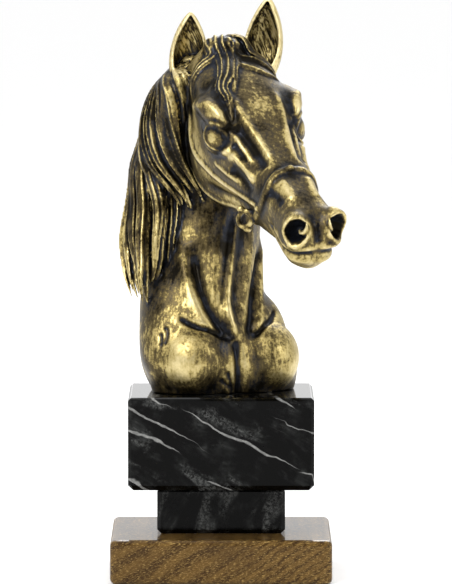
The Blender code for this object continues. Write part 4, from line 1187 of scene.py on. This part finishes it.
def black_marble(name, shift, slant, top, thin, clouds):
    """Vein = narrow peak of a warped stripe, thinned out by a slow noise; haze = a noise drawn out along
    the veins and broken into dots by a fine grain; mist = the same noise's wider and softer reach."""
    paint = Paint(name)
    where = paint.place(location=shift, turn=(0, slant, 0))
    warp = paint.noise(where, 24.0, 4.0, 0.58)
    along = paint.noise(paint.stretch(where, (0.22, 1, 1)), 62.0, 2.0, 0.5)
    grain = paint.noise(where, 800.0, 6.0, 0.85)
    across = paint.part(where, "Z") * 1000
    vein = 0.0
    for gap, bend, start in STRIPES:
        ridge = ((across + (warp - 0.5) * bend + start) / gap).math("PINGPONG", 0.5) * gap
        width = (along - thin) * 6.0
        vein = (1 - (ridge / width.math("MAXIMUM", 0.02)).step(0.2, 1.0)) * width.step(0.05, 0.5) + vein
        along = 1 - along
    cloud = paint.noise(paint.stretch(where, (0.38, 1, 1)), 85.0, 4.0, 0.60, 0.5)
    haze = cloud.step(clouds, clouds + 0.15) * grain.step(0.44, 0.60) * 0.8
    blotch = paint.noise(where, 260.0, 3.0, 0.6).step(0.35, 0.65)
    mist = cloud.step(clouds - 0.10, clouds + 0.12) * paint.noise(where, 130.0, 5.0, 0.65).step(0.42, 0.66)
    stone = paint.mix(haze, paint.mix(mist * 0.65, BLACK_STONE, MIST_GREY), HAZE_GREY)
    colour = paint.mix(vein.step(0.0, 1.0) * (0.3 * blotch + 1.05 * grain), stone, CALCITE)
    return paint.finish(base_color=colour, roughness=0.07 + grain * 0.06, specular_ior_level=0.07,
                        coat_weight=glossy_top(paint, top))


def dress(name, material):
    """Make a material the only one of a node that is carried over from the solids."""
    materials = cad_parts[name].data.materials
    materials.clear()
    materials.append(material)
    print(name, "wears", material.name)


UPPER_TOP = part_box("upper_marble_block")[1][2]
dress("upper_marble_block",
      black_marble("black_marble_upper", (0.004, 0, 0.0115), -0.5, UPPER_TOP, thin=0.46, clouds=0.53))
dress("lower_marble_block",
      black_marble("black_marble_lower", (0.02, 0.3, 0.1), 1.25, UPPER_TOP, thin=0.56, clouds=0.47))

# %% [markdown]
# ## Walnut
#
# The base is a walnut board cut so that its growth rings run slanting across the front, with short pale
# pores along the grain. Its lacquer is glossy enough for the top to mirror the white room.

# %% Walnut
DARK_RING = (0.036, 0.0165, 0.0042)
PALE_RING = (0.108, 0.058, 0.0140)
FIBRE = (0.170, 0.100, 0.027)
PORE = (0.44, 0.29, 0.095)
DARK_STAIN = (0.030, 0.014, 0.0045)
RING_SCALES = (38.0, 92.0)


def walnut(top):
    """Rings = waves across a slanted direction, wide on the left and narrow on the right, warped a
    little; fibre and flecks are noises drawn out along the grain, into threads and short dashes."""
    paint = Paint("walnut")
    where = paint.place(turn=(0, 0.62, 0))
    flat = paint.place(turn=(0, 0.12, 0))
    rings = [paint.node("ShaderNodeTexWave", {"bands_direction": "Z"},
                        {"Vector": where, "Scale": scale, "Distortion": 3.5, "Detail": 4.0,
                         "Detail Scale": 1.6, "Detail Roughness": 0.7}, 1) for scale in RING_SCALES]
    right = paint.part(flat, "X").step(-0.02, 0.035)
    ring = rings[0] * (1 - right) + rings[1] * right
    flecks = paint.noise(paint.stretch(flat, (0.28, 0.28, 1)), 2300.0, 3.0, 0.75)
    fibre = paint.noise(paint.stretch(where, (0.16, 0.16, 1)), 1500.0, 4.0, 0.7)
    tone = paint.noise(where, 30.0, 3.0, 0.5)
    colour = paint.mix(ring.step(0.0, 1.1) * 0.85, DARK_RING, PALE_RING)
    colour = paint.mix(fibre.step(0.45, 0.60) * 0.45, colour, FIBRE)
    colour = paint.mix(flecks.step(0.52, 0.68) * 0.80, colour, PORE)
    colour = paint.mix(tone.step(0.42, 0.68) * 0.35, colour, DARK_STAIN)
    return paint.finish(base_color=colour, roughness=0.24 + flecks * 0.12, specular_ior_level=0.15,
                        coat_weight=glossy_top(paint, top) * 0.6, normal=paint.bump(flecks, 0.00006, 0.5))


dress("wood_base", walnut(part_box("wood_base")[1][2]))

# %% [markdown]
# ## Studio
#
# The photograph is a product shot: a long lens from the front, a little above, and white all round. A
# pale floor and a white world give that, and large soft lamps model the gold.

# %% Floor, light and camera
PHOTO_HEIGHT = 584
PIXELS_PER_METRE = 2230.0
CAMERA_DISTANCE = 2.7
CAMERA_HEIGHT = 0.361
AIM = Vector((0.0022, 0, 0.1283))
LIT_POINT = Vector((0, 0, 0.16))
FRONT_DEPTH = 0.04
FLOOR_REACH = 16.0


def floor():
    """A wide pale plane under the base."""
    mesh = bpy.data.meshes.new("floor")
    corners = [(x * FLOOR_REACH, y * FLOOR_REACH, 0) for x, y in ((-1, -1), (1, -1), (1, 1), (-1, 1))]
    mesh.from_pydata(corners, [], [(0, 1, 2, 3)])
    mesh.materials.append(Paint("pale_floor").finish(base_color=(0.92, 0.92, 0.92), roughness=0.6))
    piece = new_object("floor", mesh)


def aim_at(item, place, target):
    """Put a lamp or a camera in its place and turn it to look at a point."""
    item.location = place
    item.rotation_euler = (target - item.location).to_track_quat("-Z", "Y").to_euler()


def lamp(name, place, size, power):
    """A square soft lamp that looks at the bust."""
    light = bpy.data.lights.new(name, "AREA")
    light.size, light.energy = size, power
    aim_at(new_object(name, light), place, LIT_POINT)


def photo_camera():
    """A camera whose focal length gives the photo's scale at the front of the object: the sensor's
    length times the share of the picture's height that one metre fills, times the distance."""
    data = bpy.data.cameras.new("photo_camera")
    item = new_object("photo_camera", data)
    aim_at(item, (AIM.x, -CAMERA_DISTANCE, CAMERA_HEIGHT), AIM)
    distance = (AIM - item.location).length - FRONT_DEPTH
    data.lens = data.sensor_width * PIXELS_PER_METRE * distance / PHOTO_HEIGHT
    data.clip_start, data.clip_end = 0.05, 50
    bpy.context.scene.camera = item


def white_room():
    """A bright ceiling and walls, with a dark end behind the camera, by the direction looked in."""
    world = bpy.data.worlds.new("white_room")
    world.use_nodes = True
    room = Nodes(world.node_tree)
    towards = room.node("ShaderNodeTexCoord", output="Generated")
    ceiling = room.part(towards, "Z").step(0.15, 0.9)
    dark_end = (0 - room.part(towards, "Y")).step(0.45, 0.95)
    background = world.node_tree.nodes["Background"]
    background.inputs["Color"].default_value = (1, 1, 1, 1)
    room.feed(background.inputs["Strength"], (0.85 + ceiling * 0.45) * (1 - dark_end * 0.85))
    bpy.context.scene.world = world


white_room()
bpy.context.scene.view_settings.view_transform = "Standard"
floor()
lamp("key", (-0.9, -1.3, 1.3), 0.8, 26)
lamp("fill", (1.3, -0.9, 0.7), 0.9, 8)
lamp("rim", (0.3, 1.3, 1.2), 0.8, 10)
photo_camera()
